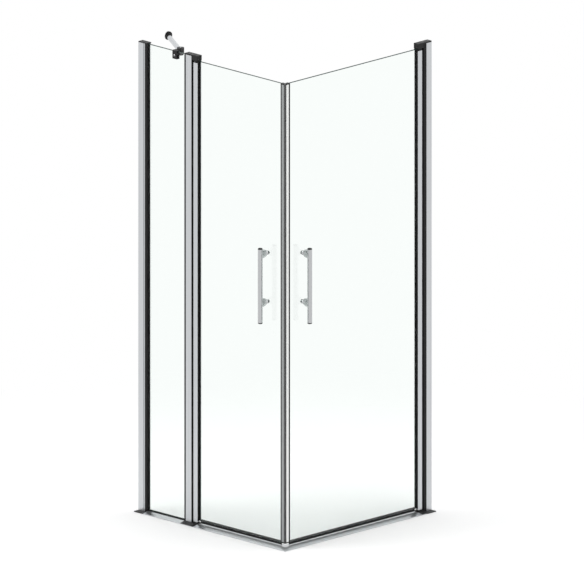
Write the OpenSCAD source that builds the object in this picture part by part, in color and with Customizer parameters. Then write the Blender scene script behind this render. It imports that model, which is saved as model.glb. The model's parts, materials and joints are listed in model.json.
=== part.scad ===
// Corner shower enclosure: one fixed pane and two outward-opening pivot doors that meet at the corner.
// Each side is drawn in its own frame: X runs from the wall to the corner, Y runs into the shower
// from the outer face of the profiles, Z runs up. The second side is the mirror of the first.

/* [Enclosure] */
// Length of each side, from the wall face to the outer corner
span = 854; // [760:1:1200]
// Height of the wall profiles, the hinge post and the fixed glass
height = 2000; // [1800:5:2200]
// Width of the fixed side, from the wall to the near edge of the hinge post
fixed_w = 270; // [230:1:400]
// Depth of every upright profile, from outside to inside
profile_depth = 26; // [26:0.5:32]
// Thickness of the glass
glass_t = 6; // [5:0.5:8]

/* [Wall profiles] */
// Width of the wall channel
channel_w = 30; // [26:1:40]
// Wall thickness of the channel
channel_wall = 2; // [1.5:0.1:2.5]
// Clearance between the wall channel and the profile that slides in it
slide_gap = 0.3; // [0.2:0.05:0.5]
// How far the sliding profile reaches out of the channel
nose_w = 20; // [18:1:28]
// How far the hinge profile reaches out of its channel
hinge_nose_w = 14; // [12:1:20]
// Gap between the wall and the back of the sliding profile, for walls out of true
wall_play = 6; // [3:1:10]
// Wall thickness of the sliding profiles, the post and the door stiles
profile_wall = 2; // [1.5:0.1:2.5]
// Radius of the holes for the wall screws
wall_hole_r = 2.75; // [2:0.05:4]
// Distance of the outermost wall screw holes from the floor and from the top
wall_hole_end = 150; // [100:5:300]
// Distance between the inner pair of wall screw holes
inner_hole_pitch = 600; // [300:10:900]
// Distance of the outermost locking screws from the floor and from the top
lock_end = 200; // [100:5:400]
// Thickness of the cap on top of the wall profiles
wall_cap_t = 4; // [1:0.5:6]
// Thickness of the foot plate under the wall profiles
wall_foot_t = 3; // [2:0.5:6]
// Depth of the lugs that hold the cap in the sliding profile
cap_lug_depth = 12; // [6:1:20]

/* [Hinge post and stiles] */
// Width of the hinge post without its seal
post_w = 39; // [36:1:50]
// Width of a door stile
stile_w = 32; // [30:1:44]
// Depth of the glass pocket in the post and in the sliding profile
pocket_depth = 13; // [10:1:14]
// Radius of the round bore that runs through the stile
stile_bore_r = 10; // [9:0.25:10.5]
// Thickness of the rubber seal on the hinge side
hinge_seal_t = 2.5; // [1.5:0.25:4]
// Gap between the hinge seal and the closed door
hinge_gap = 0.6; // [0.4:0.1:1.5]
// Outer radius of a screw port in the post
port_r = 3.8; // [3.4:0.1:4.5]
// How far the screw ports sink into the walls beside them
port_sink = 1; // [0.5:0.1:1.5]
// Radius of the shank of the screws in the ports
port_screw_r = 1.9; // [1.5:0.1:2.2]

/* [Gaskets] */
// Width of the rubber cover on the front of the sliding profile
cover_w = 12; // [8:1:16]
// Width of rubber that shows on the front of the hinge post
post_cover_w = 6; // [3:0.5:9]
// Width of the gasket lip that shows on the glass
gasket_lip = 2; // [1:0.5:4]
// Thickness of the gasket lip on the glass
gasket_lip_t = 3; // [2:0.25:4]
// How much thinner the lip gets towards its free edge
lip_taper = 1; // [0:0.25:1.5]
// Space left round the edge of the glass in its pocket
edge_gap = 1; // [0.5:0.25:2]

/* [Doors] */
// Height of the lower edge of the doors above the foot of the bottom pivot blocks
door_rise = 11; // [10.5:0.5:20]
// Distance from the top of the profiles down to the top of the doors
door_drop = 17; // [14:0.5:25]
// How far a stile reaches below the door glass
stile_below = 5; // [3:0.5:6]
// How far a stile ends below the top of the door glass
stile_above = 8; // [5:0.5:12]
// Thickness of the pivot block where it covers the profile top
block_plate_t = 6; // [4:0.5:10]
// Thickness of the bottom pivot block under the post
foot_t = 2; // [1.5:0.25:4]
// Running gap between a door and the pivot blocks
door_gap = 0.5; // [0.4:0.1:1]
// Radius of the pivot pins
pin_r = 4; // [3:0.25:5]
// Length of pin that stands in the door
pin_reach = 22; // [14:1:30]
// Radius of the collar on the pin
collar_r = 8; // [6:0.5:10]
// Thickness of the collar on the pin
collar_t = 2; // [1.5:0.25:3]
// Running gap between the collar and the pivot plug
thrust_gap = 0.3; // [0.2:0.05:0.5]
// Wall thickness of the bush round the pin
bush_wall = 1.5; // [1:0.25:2.5]
// Radial running clearance between pin and bush
pin_clearance = 0.05; // [0.03:0.01:0.08]
// Thickness of the flange on the pivot plug
plug_flange_t = 2.5; // [2:0.25:3]
// How far the pivot plug and the boss over it stay inside the stile and clear of the glass
flange_inset = 0.5; // [0.25:0.25:1.5]
// Length of the pivot plug inside the stile
plug_length = 40; // [30:1:60]

/* [Corner seals] */
// Width of the magnetic strip on the left door
left_strip_w = 26; // [21:0.5:36]
// Width of the magnetic strip on the right door
right_strip_w = 30; // [21:0.5:40]
// Thickness of the magnetic strips
strip_depth = 14; // [13:0.5:18]
// Depth of the slot that grips the glass
strip_slot = 8; // [6:0.5:8]
// Gap between the two strips in the closed corner
strip_gap = 0.5; // [0.4:0.1:1.5]
// Width of the magnet along the mitred face
magnet_w = 7; // [5:0.5:8]
// Thickness of the magnet
magnet_t = 3; // [2:0.25:3.5]
// How far the magnet lies from the middle of the mitred face towards the inside
magnet_shift = 1; // [0:0.25:1.5]
// Skin of the strip over the magnet
magnet_skin = 1.2; // [0.8:0.1:1.5]
// Thickness of the bottom seal where it grips the glass
sweep_t = 1.5; // [1:0.25:2]
// Height that the bottom seal grips on the glass
sweep_grip = 8; // [6:1:20]
// Thickness of the tip of the bottom seal, whose root is twice as thick
sweep_tip = 2; // [1:0.25:2.5]
// Gap that the end of the bottom seal keeps from the pivot block as it swings past
sweep_end_gap = 1; // [0.5:0.5:8]
// Gap between the bottom seal and the threshold
sweep_gap = 0.6; // [0.4:0.1:2]

/* [Threshold] */
// Height of the threshold rail
sill_h = 8; // [7:0.5:16]
// Height of the outer edge of the threshold rail
sill_lip = 2; // [1.5:0.25:4]
// How far the threshold rail stands out in front of the profiles
sill_out = 26; // [18:1:40]
// Width of the slope of the threshold rail
sill_slope = 24; // [14:1:34]
// How far the threshold rail reaches inside behind the profiles
sill_in = 2; // [0.5:0.5:8]
// Wall thickness of the threshold rail
sill_wall = 2; // [1.5:0.1:2.5]
// Thickness of the end caps of the threshold rail
sill_cap_t = 2; // [1:0.5:4]
// Length of each leg of the key inside the corner joint
key_leg = 70; // [40:5:120]
// Clearance round the pieces that slide into a profile
key_gap = 0.2; // [0.1:0.05:0.4]
// Width of the beads that seal the fixed glass to the threshold
bead_w = 6; // [4:0.5:9]
// Thickness of the beads at their outer edge
bead_t = 1.5; // [1:0.25:2.5]
// How far the beads reach up the fixed glass
bead_h = 2; // [1:0.5:6]
// Thickness of the setting blocks under the fixed glass
setting_t = 2; // [1.5:0.5:5]
// Length of each setting block
setting_l = 40; // [25:5:60]

/* [Handles] */
// Distance from the outer corner to the handle
handle_inset = 114; // [90:1:180]
// Diameter of the handle bar
handle_d = 20; // [16:0.5:24]
// Length of the handle, with its caps
handle_l = 325; // [290:1:400]
// Height of the middle of the handle
handle_z = 1108; // [1000:1:1200]
// Distance from the glass to the middle of the handle bar
handle_off = 40; // [34:0.5:60]
// Wall thickness of the handle tube
handle_wall = 1.5; // [1:0.25:2.5]
// Distance from the top end of the handle to the middle of its upper foot
foot_from_top = 28; // [25:1:70]
// Distance from the lower end of the handle to the middle of its lower foot
foot_from_low = 89; // [30:1:140]
// Thickness of a handle foot
foot_fin_t = 11; // [9.5:0.5:14]
// Height of a handle foot at the bar
foot_tall = 40; // [30:1:50]
// Height of a handle foot at the glass
foot_short = 18; // [14:1:24]
// Depth of the screw hole in a handle foot
foot_bore = 12; // [8:0.5:16]
// Space left at the end of the screw in a handle foot
foot_bore_end = 1; // [0.5:0.25:3]
// Radius of the round base of a handle foot
rosette_r = 10; // [9:0.5:14]
// Thickness of the round base of a handle foot
rosette_t = 4; // [3:0.5:6]
// Thickness of the washers on both sides of the glass
washer_t = 1.5; // [1:0.25:2.5]
// Radius of the shank of the handle screws
handle_screw_r = 3; // [2.5:0.25:4]
// Height of the domed caps on the handle
handle_cap_h = 6; // [3:0.5:9]
// Height of the straight rim of the domed caps
handle_rim_h = 1.8; // [0.5:0.1:2.5]
// Length of the plug of a handle cap inside the tube
handle_plug = 10; // [6:1:20]

/* [Stay bar] */
// Distance from the wall to the middle of the stay clamp
stay_u = 208; // [150:1:215]
// Distance from the outer faces to the stay bar where it meets the wall
stay_wall_y = 172; // [120:1:260]
// How far the stay bar lies below the top of the glass
stay_drop = 6; // [0:1:15]
// Diameter of the stay bar
stay_d = 20; // [12:0.5:22]
// Wall thickness of the stay bar
stay_wall_t = 1.5; // [1:0.25:2.5]
// Width of the stay clamp
clamp_w = 26; // [20:1:36]
// Thickness of each jaw of the stay clamp beside its pad
clamp_jaw = 6; // [4:0.5:9]
// Depth that the stay clamp reaches down the glass
clamp_drop = 33; // [25:1:45]
// Thickness of the top of the stay clamp over the glass
clamp_top = 4; // [3:0.5:8]
// Thickness of the pads in the stay clamp
pad_t = 1; // [0.5:0.25:2]
// Radius of the round knuckle
knuckle_r = 15; // [11:0.5:18]
// Height of the knuckle
knuckle_h = 30; // [24:1:36]
// Width of the neck between the stay clamp and the knuckle
neck_w = 20; // [14:0.5:24]
// Height of the underside of the neck above the underside of the knuckle
neck_rise = 2; // [0:0.5:6]
// Distance from the axis of the knuckle to the floor of its socket
knuckle_floor = 2; // [0:0.5:4]
// Space left at both ends of the stay bar
bar_end_gap = 0.5; // [0.25:0.25:1.5]
// Radius of the flange of the stay bar on the wall
flange_r = 18; // [16.5:0.5:24]
// Thickness of the flange
flange_t = 8; // [4:0.5:12]
// Wall thickness of the socket on the flange
socket_wall = 1.5; // [1:0.25:3]
// Length of the socket on the flange
socket_l = 34; // [28:1:44]
// Radius of the screw holes in the flange
flange_hole_r = 2.2; // [1.5:0.1:2.5]
// Distance between the two screw holes in the flange
flange_hole_pitch = 28; // [28:0.5:36]

/* [Fasteners] */
// Radial clearance of screws, plugs and magnets in the seats that hold them
seat_gap = 0.1; // [0.05:0.05:0.2]
// Radial clearance of screws in the holes that they pass
hole_gap = 0.2; // [0.1:0.05:0.5]
// Radial clearance of the handle screws in the glass
glass_hole_gap = 2; // [1:0.25:3]
// Radius of the shank of the screws that lock the sliding profiles
lock_screw_r = 2; // [1.5:0.1:2.5]
// Length of the locking screws below the head
lock_screw_l = 6; // [4:0.5:10]
// Radius of the heads of the locking screws
lock_head_r = 4; // [3:0.25:5]
// Height of the heads of the locking screws
lock_head_t = 2.2; // [1.5:0.1:3]
// Length of the screws in the ports, with the head
port_screw_l = 18; // [12:1:24]
// Radius of the heads of the screws in the ports
port_head_r = 3.4; // [3:0.1:4]
// Height of the heads of the screws in the ports
port_head_t = 2; // [1.5:0.1:3]
// Radius of the shank of the pinch screw in the stay clamp
pinch_r = 3; // [2:0.25:3.5]
// Radius of the heads on the stay clamp and its knuckle
pinch_head_r = 4.5; // [4:0.25:6]
// Height of the heads on the stay clamp and its knuckle
pinch_head_t = 2.5; // [1.5:0.25:3.5]
// Radius of the domed heads of the handle screws
dome_r = 8; // [6:0.5:9]
// Height of the domed heads of the handle screws
dome_h = 5; // [3:0.25:7]
// Height of the straight rim below each dome
dome_rim_h = 1.75; // [0.5:0.25:2.5]

/* [Hidden] */
$fn = 64;

metal = "#cfd2d4";
black = "#1b1b1d";
steel = "#9a9da1";
clear = "#d9ecea";

// How far a cutting shape runs past the solid that it cuts
past = 1;
mid_y = profile_depth / 2;
glass_y0 = (profile_depth - glass_t) / 2;
glass_y1 = glass_y0 + glass_t;
pocket_y0 = profile_wall;
pocket_y1 = profile_depth - profile_wall;
door_top = height - door_drop;
foot_z = sill_h + foot_t;
door_bottom = foot_z + door_rise;
stile_z0 = door_bottom - stile_below;
stile_z1 = door_top - stile_above;
// Undersides of the two collars that carry and guide a door
low_collar_z = stile_z0 - plug_flange_t - thrust_gap - collar_t;
high_collar_z = stile_z1 + plug_flange_t + thrust_gap;

// The sliding profile is thinner than its channel by the channel wall and the clearance
inset_y = channel_wall + slide_gap;
nose_pocket_y0 = inset_y + profile_wall;
nose_end = channel_w + nose_w;
hinge_nose_end = channel_w + hinge_nose_w;
post_end = fixed_w + post_w;
left_hinge = post_end + hinge_seal_t + hinge_gap;
right_hinge = hinge_nose_end + hinge_seal_t + hinge_gap;
// The threshold starts past the wall profiles and their gasket
cap_start = max(nose_end + gasket_lip, hinge_nose_end + hinge_seal_t + sill_cap_t);
rail_start = cap_start + sill_cap_t;
// The pivot axis is the centre of the round hinge edge of the stile
stile_r = profile_depth / 2;
stile_slot = stile_r + stile_bore_r + profile_wall;
boss_r = min(stile_r, stile_slot + edge_gap - stile_r) - flange_inset;
// Where the slope of the bottom pivot blocks is no higher than the lip of the bottom seal
clear_y = sill_slope - sill_out - (foot_t - sweep_gap) * sill_slope / (sill_h - sill_lip);
// Radius round the pivot axis past which that lip swings clear of the blocks
clear_sweep = sqrt(pow(stile_w - stile_r, 2) + pow(stile_r - min(0, clear_y), 2));
// Strips: the outer corner of the strips lies on the mitre, on the outer face of the strips
strip_y0 = mid_y - strip_depth / 2;
strip_y1 = mid_y + strip_depth / 2;

handle_y = glass_y0 - handle_off;
handle_u = span - handle_inset;
// The farthest that the object reaches in front of the profiles
front_reach = max(handle_d / 2 - handle_y, sill_out);
shift = (span - front_reach) / 2;

port_bore_r = port_screw_r + seat_gap;
lock_screw_z = [lock_end, height / 2, height - lock_end];

stay_z = height - stay_drop;
clamp_y0 = glass_y0 - pad_t - clamp_jaw;
clamp_y1 = glass_y1 + pad_t + clamp_jaw;
knuckle_y = clamp_y1 + knuckle_r;
stay_angle = atan2(stay_wall_y - knuckle_y, stay_u);
stay_run = sqrt(pow(stay_u, 2) + pow(stay_wall_y - knuckle_y, 2));

foot_zs = [handle_z - handle_l / 2 + foot_from_low, handle_z + handle_l / 2 - foot_from_top];
handle_hole_r = handle_screw_r + glass_hole_gap;

echo(left_pivot = [left_hinge + stile_r - span + shift, mid_y - shift]);
echo(right_pivot = [shift - mid_y, span - right_hinge - stile_r - shift]);
echo(half_width = shift + front_reach, shift = shift, stay_angle = stay_angle);
echo(handle_left = [handle_u - span + shift, handle_y - shift], foot_heights = foot_zs);

// Place what is drawn in the frame of a side
module left_side() {
    translate([shift - span, -shift, 0]) children();
}

module right_side() {
    translate([shift, -shift, 0]) mirror([1, 1, 0]) translate([-span, 0, 0]) children();
}

// A box from its ranges along X, Y and Z
module box(x, y, z) {
    translate([x[0], y[0], z[0]]) cube([x[1] - x[0], y[1] - y[0], z[1] - z[0]]);
}

// A section in Y and Z drawn out along X
module along(x0, x1, points) {
    translate([x0, 0, 0]) rotate([90, 0, 90]) linear_extrude(x1 - x0) polygon(points);
}

// A cylinder along Y from y0 to y1
module rod_y(x, z, r, y0, y1) {
    translate([x, y0, z]) rotate([-90, 0, 0]) cylinder(r = r, h = y1 - y0);
}

// Everything past the mitre plane of the corner, less a gap
module past_mitre(gap, z0, z1) {
    side = 3 * profile_depth + 2 * sill_out + 2 * key_leg;
    translate([span, 0, 0]) rotate(45) translate([-gap, -side / 2, z0]) cube([side, side, z1 - z0]);
}

// Wall channel: a U that the wall screws hold, open towards the glass
module wall_channel() {
    hole_z = [
        wall_hole_end,
        (height - inner_hole_pitch) / 2,
        (height + inner_hole_pitch) / 2,
        height - wall_hole_end
    ];
    color(metal) difference() {
        box([0, channel_w], [0, profile_depth], [wall_foot_t, height]);
        box([channel_wall, channel_w + past], [channel_wall, profile_depth - channel_wall],
            [0, height + past]);
        for (z = hole_z) {
            translate([-past, mid_y, z]) rotate([0, 90, 0])
                cylinder(r = wall_hole_r, h = channel_wall + 2 * past);
        }
        for (z = lock_screw_z) {
            rod_y(channel_w / 2, z, lock_screw_r + hole_gap, profile_depth - channel_wall - past,
                profile_depth + past);
        }
    }
}

// Screws that lock the sliding profile in its channel, seen from inside the shower
module channel_screws() {
    color(steel) for (z = lock_screw_z) {
        rod_y(channel_w / 2, z, lock_head_r, profile_depth, profile_depth + lock_head_t);
        rod_y(channel_w / 2, z, lock_screw_r, profile_depth - lock_screw_l,
            profile_depth + lock_head_t / 2);
    }
}

// Round ports down the middle of a hollow profile, which the block screws enter
module screw_ports(x0, x1, z0) {
    for (x = [x0 + port_r - port_sink, x1 - port_r + port_sink]) {
        translate([x, mid_y, z0]) cylinder(r = port_r, h = height - z0);
    }
}

module port_bores(x0, x1, z0) {
    for (x = [x0 + port_r - port_sink, x1 - port_r + port_sink]) {
        translate([x, mid_y, z0 - past]) cylinder(r = port_bore_r, h = height - z0 + 2 * past);
    }
}

// Hollow of a profile and, past a web, the pocket that holds the glass
module adjusting_profile() {
    hollow_end = nose_end - pocket_depth - profile_wall;
    color(metal) difference() {
        union() {
            difference() {
                box([wall_play, nose_end], [inset_y, profile_depth - inset_y], [wall_foot_t, height]);
                box([wall_play + profile_wall, hollow_end],
                    [inset_y + profile_wall, profile_depth - inset_y - profile_wall],
                    [0, height + past]);
            }
            screw_ports(wall_play + profile_wall, hollow_end, wall_foot_t);
        }
        port_bores(wall_play + profile_wall, hollow_end, wall_foot_t);
        box([nose_end - pocket_depth, nose_end + past],
            [nose_pocket_y0, profile_depth - nose_pocket_y0], [0, height + past]);
        screw_clearance();
    }
}

// Room in the sliding profile for the tips of the locking screws
module screw_clearance() {
    for (z = lock_screw_z) {
        rod_y(channel_w / 2, z, lock_screw_r + seat_gap, profile_depth - lock_screw_l - past,
            profile_depth);
    }
}

// Hinge profile of the right side: the same sliding section, closed at the door side
module hinge_profile() {
    color(metal) difference() {
        union() {
            difference() {
                box([wall_play, hinge_nose_end], [inset_y, profile_depth - inset_y],
                    [wall_foot_t, height]);
                box([wall_play + profile_wall, hinge_nose_end - profile_wall],
                    [inset_y + profile_wall, profile_depth - inset_y - profile_wall],
                    [0, height + past]);
            }
            screw_ports(wall_play + profile_wall, hinge_nose_end - profile_wall, wall_foot_t);
        }
        port_bores(wall_play + profile_wall, hinge_nose_end - profile_wall, wall_foot_t);
        screw_clearance();
    }
}

// Rubber cover of the right hinge profile: front, door side and inside
module hinge_seal() {
    x0 = channel_w + slide_gap;
    color(black) difference() {
        box([x0, hinge_nose_end + hinge_seal_t], [0, profile_depth], [wall_foot_t, height]);
        box([x0 - past, hinge_nose_end], [inset_y, profile_depth - inset_y], [0, height + past]);
    }
}

// Two lugs that fill a hollow profile beside its screw ports
module lugs(x0, x1, y0, z0, z1) {
    for (y = [y0 + key_gap, mid_y + port_r + key_gap]) {
        box([x0 + key_gap, x1 - key_gap], [y, y + mid_y - port_r - y0 - 2 * key_gap], [z0, z1]);
    }
}

module wall_cap() {
    color(black) {
        box([0, nose_end], [0, profile_depth], [height, height + wall_cap_t]);
        lugs(wall_play + profile_wall, nose_end - pocket_depth - profile_wall, inset_y + profile_wall,
            height - cap_lug_depth, height);
    }
}

// Foot plate on the tray, under the wall profiles and out to the edge of the threshold
module foot_plate() {
    box([0, cap_start], [-sill_out, profile_depth + sill_in], [0, wall_foot_t]);
}

module wall_foot() {
    color(black) {
        foot_plate();
        lugs(wall_play + profile_wall, nose_end - pocket_depth - profile_wall, inset_y + profile_wall,
            0, wall_foot_t + cap_lug_depth);
    }
}

module fixed_glass() {
    color(clear, 0.4) box([nose_end - pocket_depth + edge_gap, fixed_w + pocket_depth - edge_gap],
        [glass_y0, glass_y1], [sill_h + setting_t, height]);
}

// Turns a piece drawn in front of the glass to the inside of the shower
module behind_glass() {
    translate([0, profile_depth, 0]) mirror([0, 1, 0]) children();
}

// Repeats a piece drawn in front of the glass behind it as well
module both_faces() {
    children();
    behind_glass() children();
}

// Wedge and lip of a gasket whose pocket opens towards +X at x = 0, from y0 to the glass
module pocket_gasket(z0, z1, y0, depth) {
    translate([0, 0, z0]) linear_extrude(z1 - z0) polygon([
        [edge_gap - depth, y0], [0, y0], [0, glass_y0 - gasket_lip_t],
        [gasket_lip, glass_y0 - gasket_lip_t + lip_taper], [gasket_lip, glass_y0],
        [edge_gap - depth, glass_y0]
    ]);
}

// Gaskets at the wall: the outer one also wraps the nose of the profile and covers its front
module wall_glazing_gaskets() {
    color(black) translate([nose_end, 0, 0]) {
        translate([0, 0, wall_foot_t]) linear_extrude(height - wall_foot_t) polygon([
            [-cover_w, 0], [gasket_lip, 0], [gasket_lip, glass_y0], [edge_gap - pocket_depth, glass_y0],
            [edge_gap - pocket_depth, nose_pocket_y0], [0, nose_pocket_y0], [0, inset_y],
            [-cover_w, inset_y]
        ]);
        behind_glass() pocket_gasket(wall_foot_t, height, nose_pocket_y0, pocket_depth);
    }
}

// Gaskets in the post: the outer one comes round flush with the front
module post_glazing_gaskets() {
    color(black) translate([fixed_w, 0, 0]) mirror([1, 0, 0]) {
        translate([0, 0, foot_z]) linear_extrude(height - foot_z) polygon([
            [-post_cover_w, 0], [gasket_lip, 0], [gasket_lip, glass_y0],
            [edge_gap - pocket_depth, glass_y0], [edge_gap - pocket_depth, pocket_y0],
            [-post_cover_w, pocket_y0]
        ]);
        behind_glass() pocket_gasket(foot_z, height, pocket_y0, pocket_depth);
    }
}

// Hinge post: pocket for the fixed glass, web, and a hollow with screw ports
module hinge_post() {
    x0 = fixed_w + pocket_depth + profile_wall;
    x1 = post_end - profile_wall;
    color(metal) difference() {
        union() {
            difference() {
                box([fixed_w, post_end], [0, profile_depth], [foot_z, height]);
                box([x0, x1], [profile_wall, profile_depth - profile_wall],
                    [foot_z - past, height + past]);
            }
            screw_ports(x0, x1, foot_z);
        }
        port_bores(x0, x1, foot_z);
        box([fixed_w - past, fixed_w + pocket_depth], [pocket_y0, pocket_y1],
            [foot_z - past, height + past]);
        box([fixed_w - past, fixed_w + post_cover_w], [-past, pocket_y0 + past],
            [foot_z - past, height + past]);
    }
}

module post_seal() {
    color(black) box([post_end, post_end + hinge_seal_t], [0, profile_depth], [foot_z, height]);
}

// Section of the threshold rail: flat under the glass, sloping to the outer edge
sill_points = [
    [-sill_out, 0], [-sill_out, sill_lip], [sill_slope - sill_out, sill_h],
    [profile_depth + sill_in, sill_h], [profile_depth + sill_in, 0]
];

// A skin of thickness t over the slope and the flat of the threshold
function sill_skin(t, y1) = [
    [-sill_out, sill_lip], [-sill_out, sill_lip + t], [sill_slope - sill_out, sill_h + t],
    [y1, sill_h + t], [y1, sill_h], [sill_slope - sill_out, sill_h]
];

// Seat of the pin on the threshold, as long as the stile that stands over it
module pivot_seat(x0, hinge) {
    x1 = hinge + stile_w;
    difference() {
        union() {
            along(x0, x1, sill_skin(foot_t, profile_depth));
            box([hinge - hinge_gap, x1], [0, profile_depth], [sill_h, low_collar_z]);
        }
        translate([hinge + stile_r, mid_y, sill_h - past]) cylinder(r = pin_r, h = door_bottom);
    }
}

// The left block stands on the threshold under the hinge post
module left_bottom_block() {
    color(black) {
        pivot_seat(fixed_w, left_hinge);
        lugs(fixed_w + pocket_depth + profile_wall, post_end - profile_wall, profile_wall,
            sill_h, foot_z + cap_lug_depth);
    }
}

// The right block stands on the tray under the wall profiles and climbs onto the threshold
module right_bottom_block() {
    color(black) {
        foot_plate();
        along(hinge_nose_end + hinge_seal_t, cap_start, sill_points);
        pivot_seat(hinge_nose_end + hinge_seal_t, right_hinge);
        lugs(wall_play + profile_wall, hinge_nose_end - profile_wall, inset_y + profile_wall,
            0, wall_foot_t + cap_lug_depth);
    }
}

// Top pivot block: a plate over the profile, a body over the door and a round boss down to the collar
module top_pivot_block(x0, hinge, screw_x) {
    axis = hinge + stile_r;
    x1 = hinge + stile_w;
    seat = high_collar_z + collar_t;
    color(black) difference() {
        union() {
            box([x0, x1], [0, profile_depth], [height, height + block_plate_t]);
            box([hinge - hinge_gap, x1], [0, profile_depth],
                [door_top + door_gap, height + block_plate_t]);
            translate([axis, mid_y, seat]) cylinder(r = boss_r, h = height - seat);
        }
        translate([axis, mid_y, stile_z1]) cylinder(r = pin_r, h = height - stile_z1);
        for (x = screw_x) {
            translate([x, mid_y, height - past])
                cylinder(r = port_screw_r + hole_gap, h = block_plate_t + 2 * past);
            translate([x, mid_y, height + block_plate_t - port_head_t])
                cylinder(r = port_head_r + hole_gap, h = port_head_t + past);
        }
    }
}

module block_screws(screw_x) {
    color(steel) for (x = screw_x) translate([x, mid_y, 0]) {
        translate([0, 0, height + block_plate_t - port_head_t])
            cylinder(r = port_head_r, h = port_head_t);
        translate([0, 0, height + block_plate_t - port_screw_l])
            cylinder(r = port_screw_r, h = port_screw_l);
    }
}

// Pivot pins with their collars, one in each block
module pivot_pins(hinge) {
    color(steel) translate([hinge + stile_r, mid_y, 0]) {
        translate([0, 0, sill_h]) cylinder(r = pin_r, h = stile_z0 - sill_h + pin_reach);
        translate([0, 0, low_collar_z]) cylinder(r = collar_r, h = collar_t);
        translate([0, 0, stile_z1 - pin_reach]) cylinder(r = pin_r, h = pin_reach + height - stile_z1);
        translate([0, 0, high_collar_z]) cylinder(r = collar_r, h = collar_t);
    }
}

// Door stile: round at the hinge edge, with a bore for the plugs and a pocket for the glass
module door_stile(hinge) {
    color(metal) translate([hinge, 0, 0]) difference() {
        union() {
            translate([stile_r, stile_r, stile_z0]) cylinder(r = stile_r, h = stile_z1 - stile_z0);
            box([stile_r, stile_w], [0, profile_depth], [stile_z0, stile_z1]);
        }
        translate([stile_r, stile_r, 0]) cylinder(r = stile_bore_r, h = height);
        box([stile_slot, stile_w + past], [pocket_y0, pocket_y1], [0, height]);
    }
}

module door_gaskets(hinge) {
    color(black) both_faces() translate([hinge + stile_w, 0, 0])
        pocket_gasket(door_bottom, door_top, pocket_y0, stile_w - stile_slot);
}

// The glass ends in the slot of its magnetic strip
module door_glass(hinge, strip_w) {
    edge = span - strip_y0 - strip_w + strip_slot;
    color(clear, 0.4) difference() {
        box([hinge + stile_slot + edge_gap, edge], [glass_y0, glass_y1], [door_bottom, door_top]);
        for (z = foot_zs) rod_y(handle_u, z, handle_hole_r, 0, profile_depth);
    }
}

module pivot_plug() {
    difference() {
        union() {
            translate([0, 0, -plug_flange_t]) cylinder(r = boss_r, h = plug_flange_t);
            cylinder(r = stile_bore_r - seat_gap, h = plug_length);
        }
        translate([0, 0, -plug_flange_t - past])
            cylinder(r = pin_r + pin_clearance + bush_wall, h = plug_flange_t + pin_reach + 2 * past);
    }
}

module pivot_plugs(hinge) {
    color(black) translate([hinge + stile_r, mid_y, 0]) {
        translate([0, 0, stile_z0]) pivot_plug();
        translate([0, 0, stile_z1]) mirror([0, 0, 1]) pivot_plug();
    }
}

module pivot_bush() {
    bore_r = pin_r + pin_clearance;
    translate([0, 0, -plug_flange_t]) difference() {
        cylinder(r = bore_r + bush_wall, h = plug_flange_t + pin_reach);
        translate([0, 0, -past]) cylinder(r = bore_r, h = plug_flange_t + pin_reach + 2 * past);
    }
}

module pivot_bushes(hinge) {
    color("#d8d4c4") translate([hinge + stile_r, mid_y, 0]) {
        translate([0, 0, stile_z0]) pivot_bush();
        translate([0, 0, stile_z1]) mirror([0, 0, 1]) pivot_bush();
    }
}

// The magnet lies behind the mitred face, in the frame whose X is square to that face
module magnet_bar(grow, z0, z1) {
    translate([span - mid_y, mid_y, 0]) rotate(45)
        box([-strip_gap / 2 - magnet_skin - magnet_t - grow, -strip_gap / 2 - magnet_skin + grow],
            [magnet_shift - magnet_w / 2 - grow, magnet_shift + magnet_w / 2 + grow], [z0, z1]);
}

module magnet_strip(strip_w, tint) {
    x0 = span - strip_y0 - strip_w;
    color(tint) difference() {
        box([x0, span], [strip_y0, strip_y1], [door_bottom, door_top]);
        past_mitre(strip_gap / 2, 0, height);
        box([x0 - past, x0 + strip_slot], [glass_y0, glass_y1], [0, height]);
        magnet_bar(seat_gap, 0, height);
    }
}

module door_magnet() {
    color("#4a4a4c") magnet_bar(0, door_bottom, door_top);
}

// Bottom seal: a clip on the glass edge and a lip down to the threshold
module bottom_seal(hinge, strip_w) {
    x0 = hinge + stile_r + clear_sweep + sweep_end_gap;
    x1 = span - strip_y0 - strip_w;
    color("#c7d0cf") along(x0, x1, [
        [glass_y0 - sweep_t, door_bottom + sweep_grip], [glass_y0, door_bottom + sweep_grip],
        [glass_y0, door_bottom], [glass_y1, door_bottom], [glass_y1, door_bottom + sweep_grip],
        [glass_y1 + sweep_t, door_bottom + sweep_grip], [glass_y1 + sweep_t, door_bottom - sweep_t],
        [mid_y + sweep_tip, door_bottom - sweep_t], [mid_y + sweep_tip / 2, sill_h + sweep_gap],
        [mid_y - sweep_tip / 2, sill_h + sweep_gap], [mid_y - sweep_tip, door_bottom - sweep_t],
        [glass_y0 - sweep_t, door_bottom - sweep_t]
    ]);
}

module handle_bar() {
    l = handle_l - 2 * handle_cap_h;
    color(steel) translate([handle_u, handle_y, handle_z - l / 2]) difference() {
        cylinder(d = handle_d, h = l);
        translate([0, 0, -past]) cylinder(r = handle_d / 2 - handle_wall, h = l + 2 * past);
    }
}

// Domed cap with a plug, drawn round its axis
module handle_cap() {
    r = handle_d / 2;
    plug_r = r - handle_wall - seat_gap;
    rotate_extrude() polygon([
        [0, -handle_plug], [plug_r, -handle_plug], [plug_r, 0], [r, 0],
        for (a = [0:15:90]) [r * cos(a), handle_rim_h + (handle_cap_h - handle_rim_h) * sin(a)]
    ]);
}

module handle_caps() {
    z = handle_l / 2 - handle_cap_h;
    color(black) translate([handle_u, handle_y, handle_z]) {
        translate([0, 0, z]) handle_cap();
        translate([0, 0, -z]) mirror([0, 0, 1]) handle_cap();
    }
}

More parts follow.
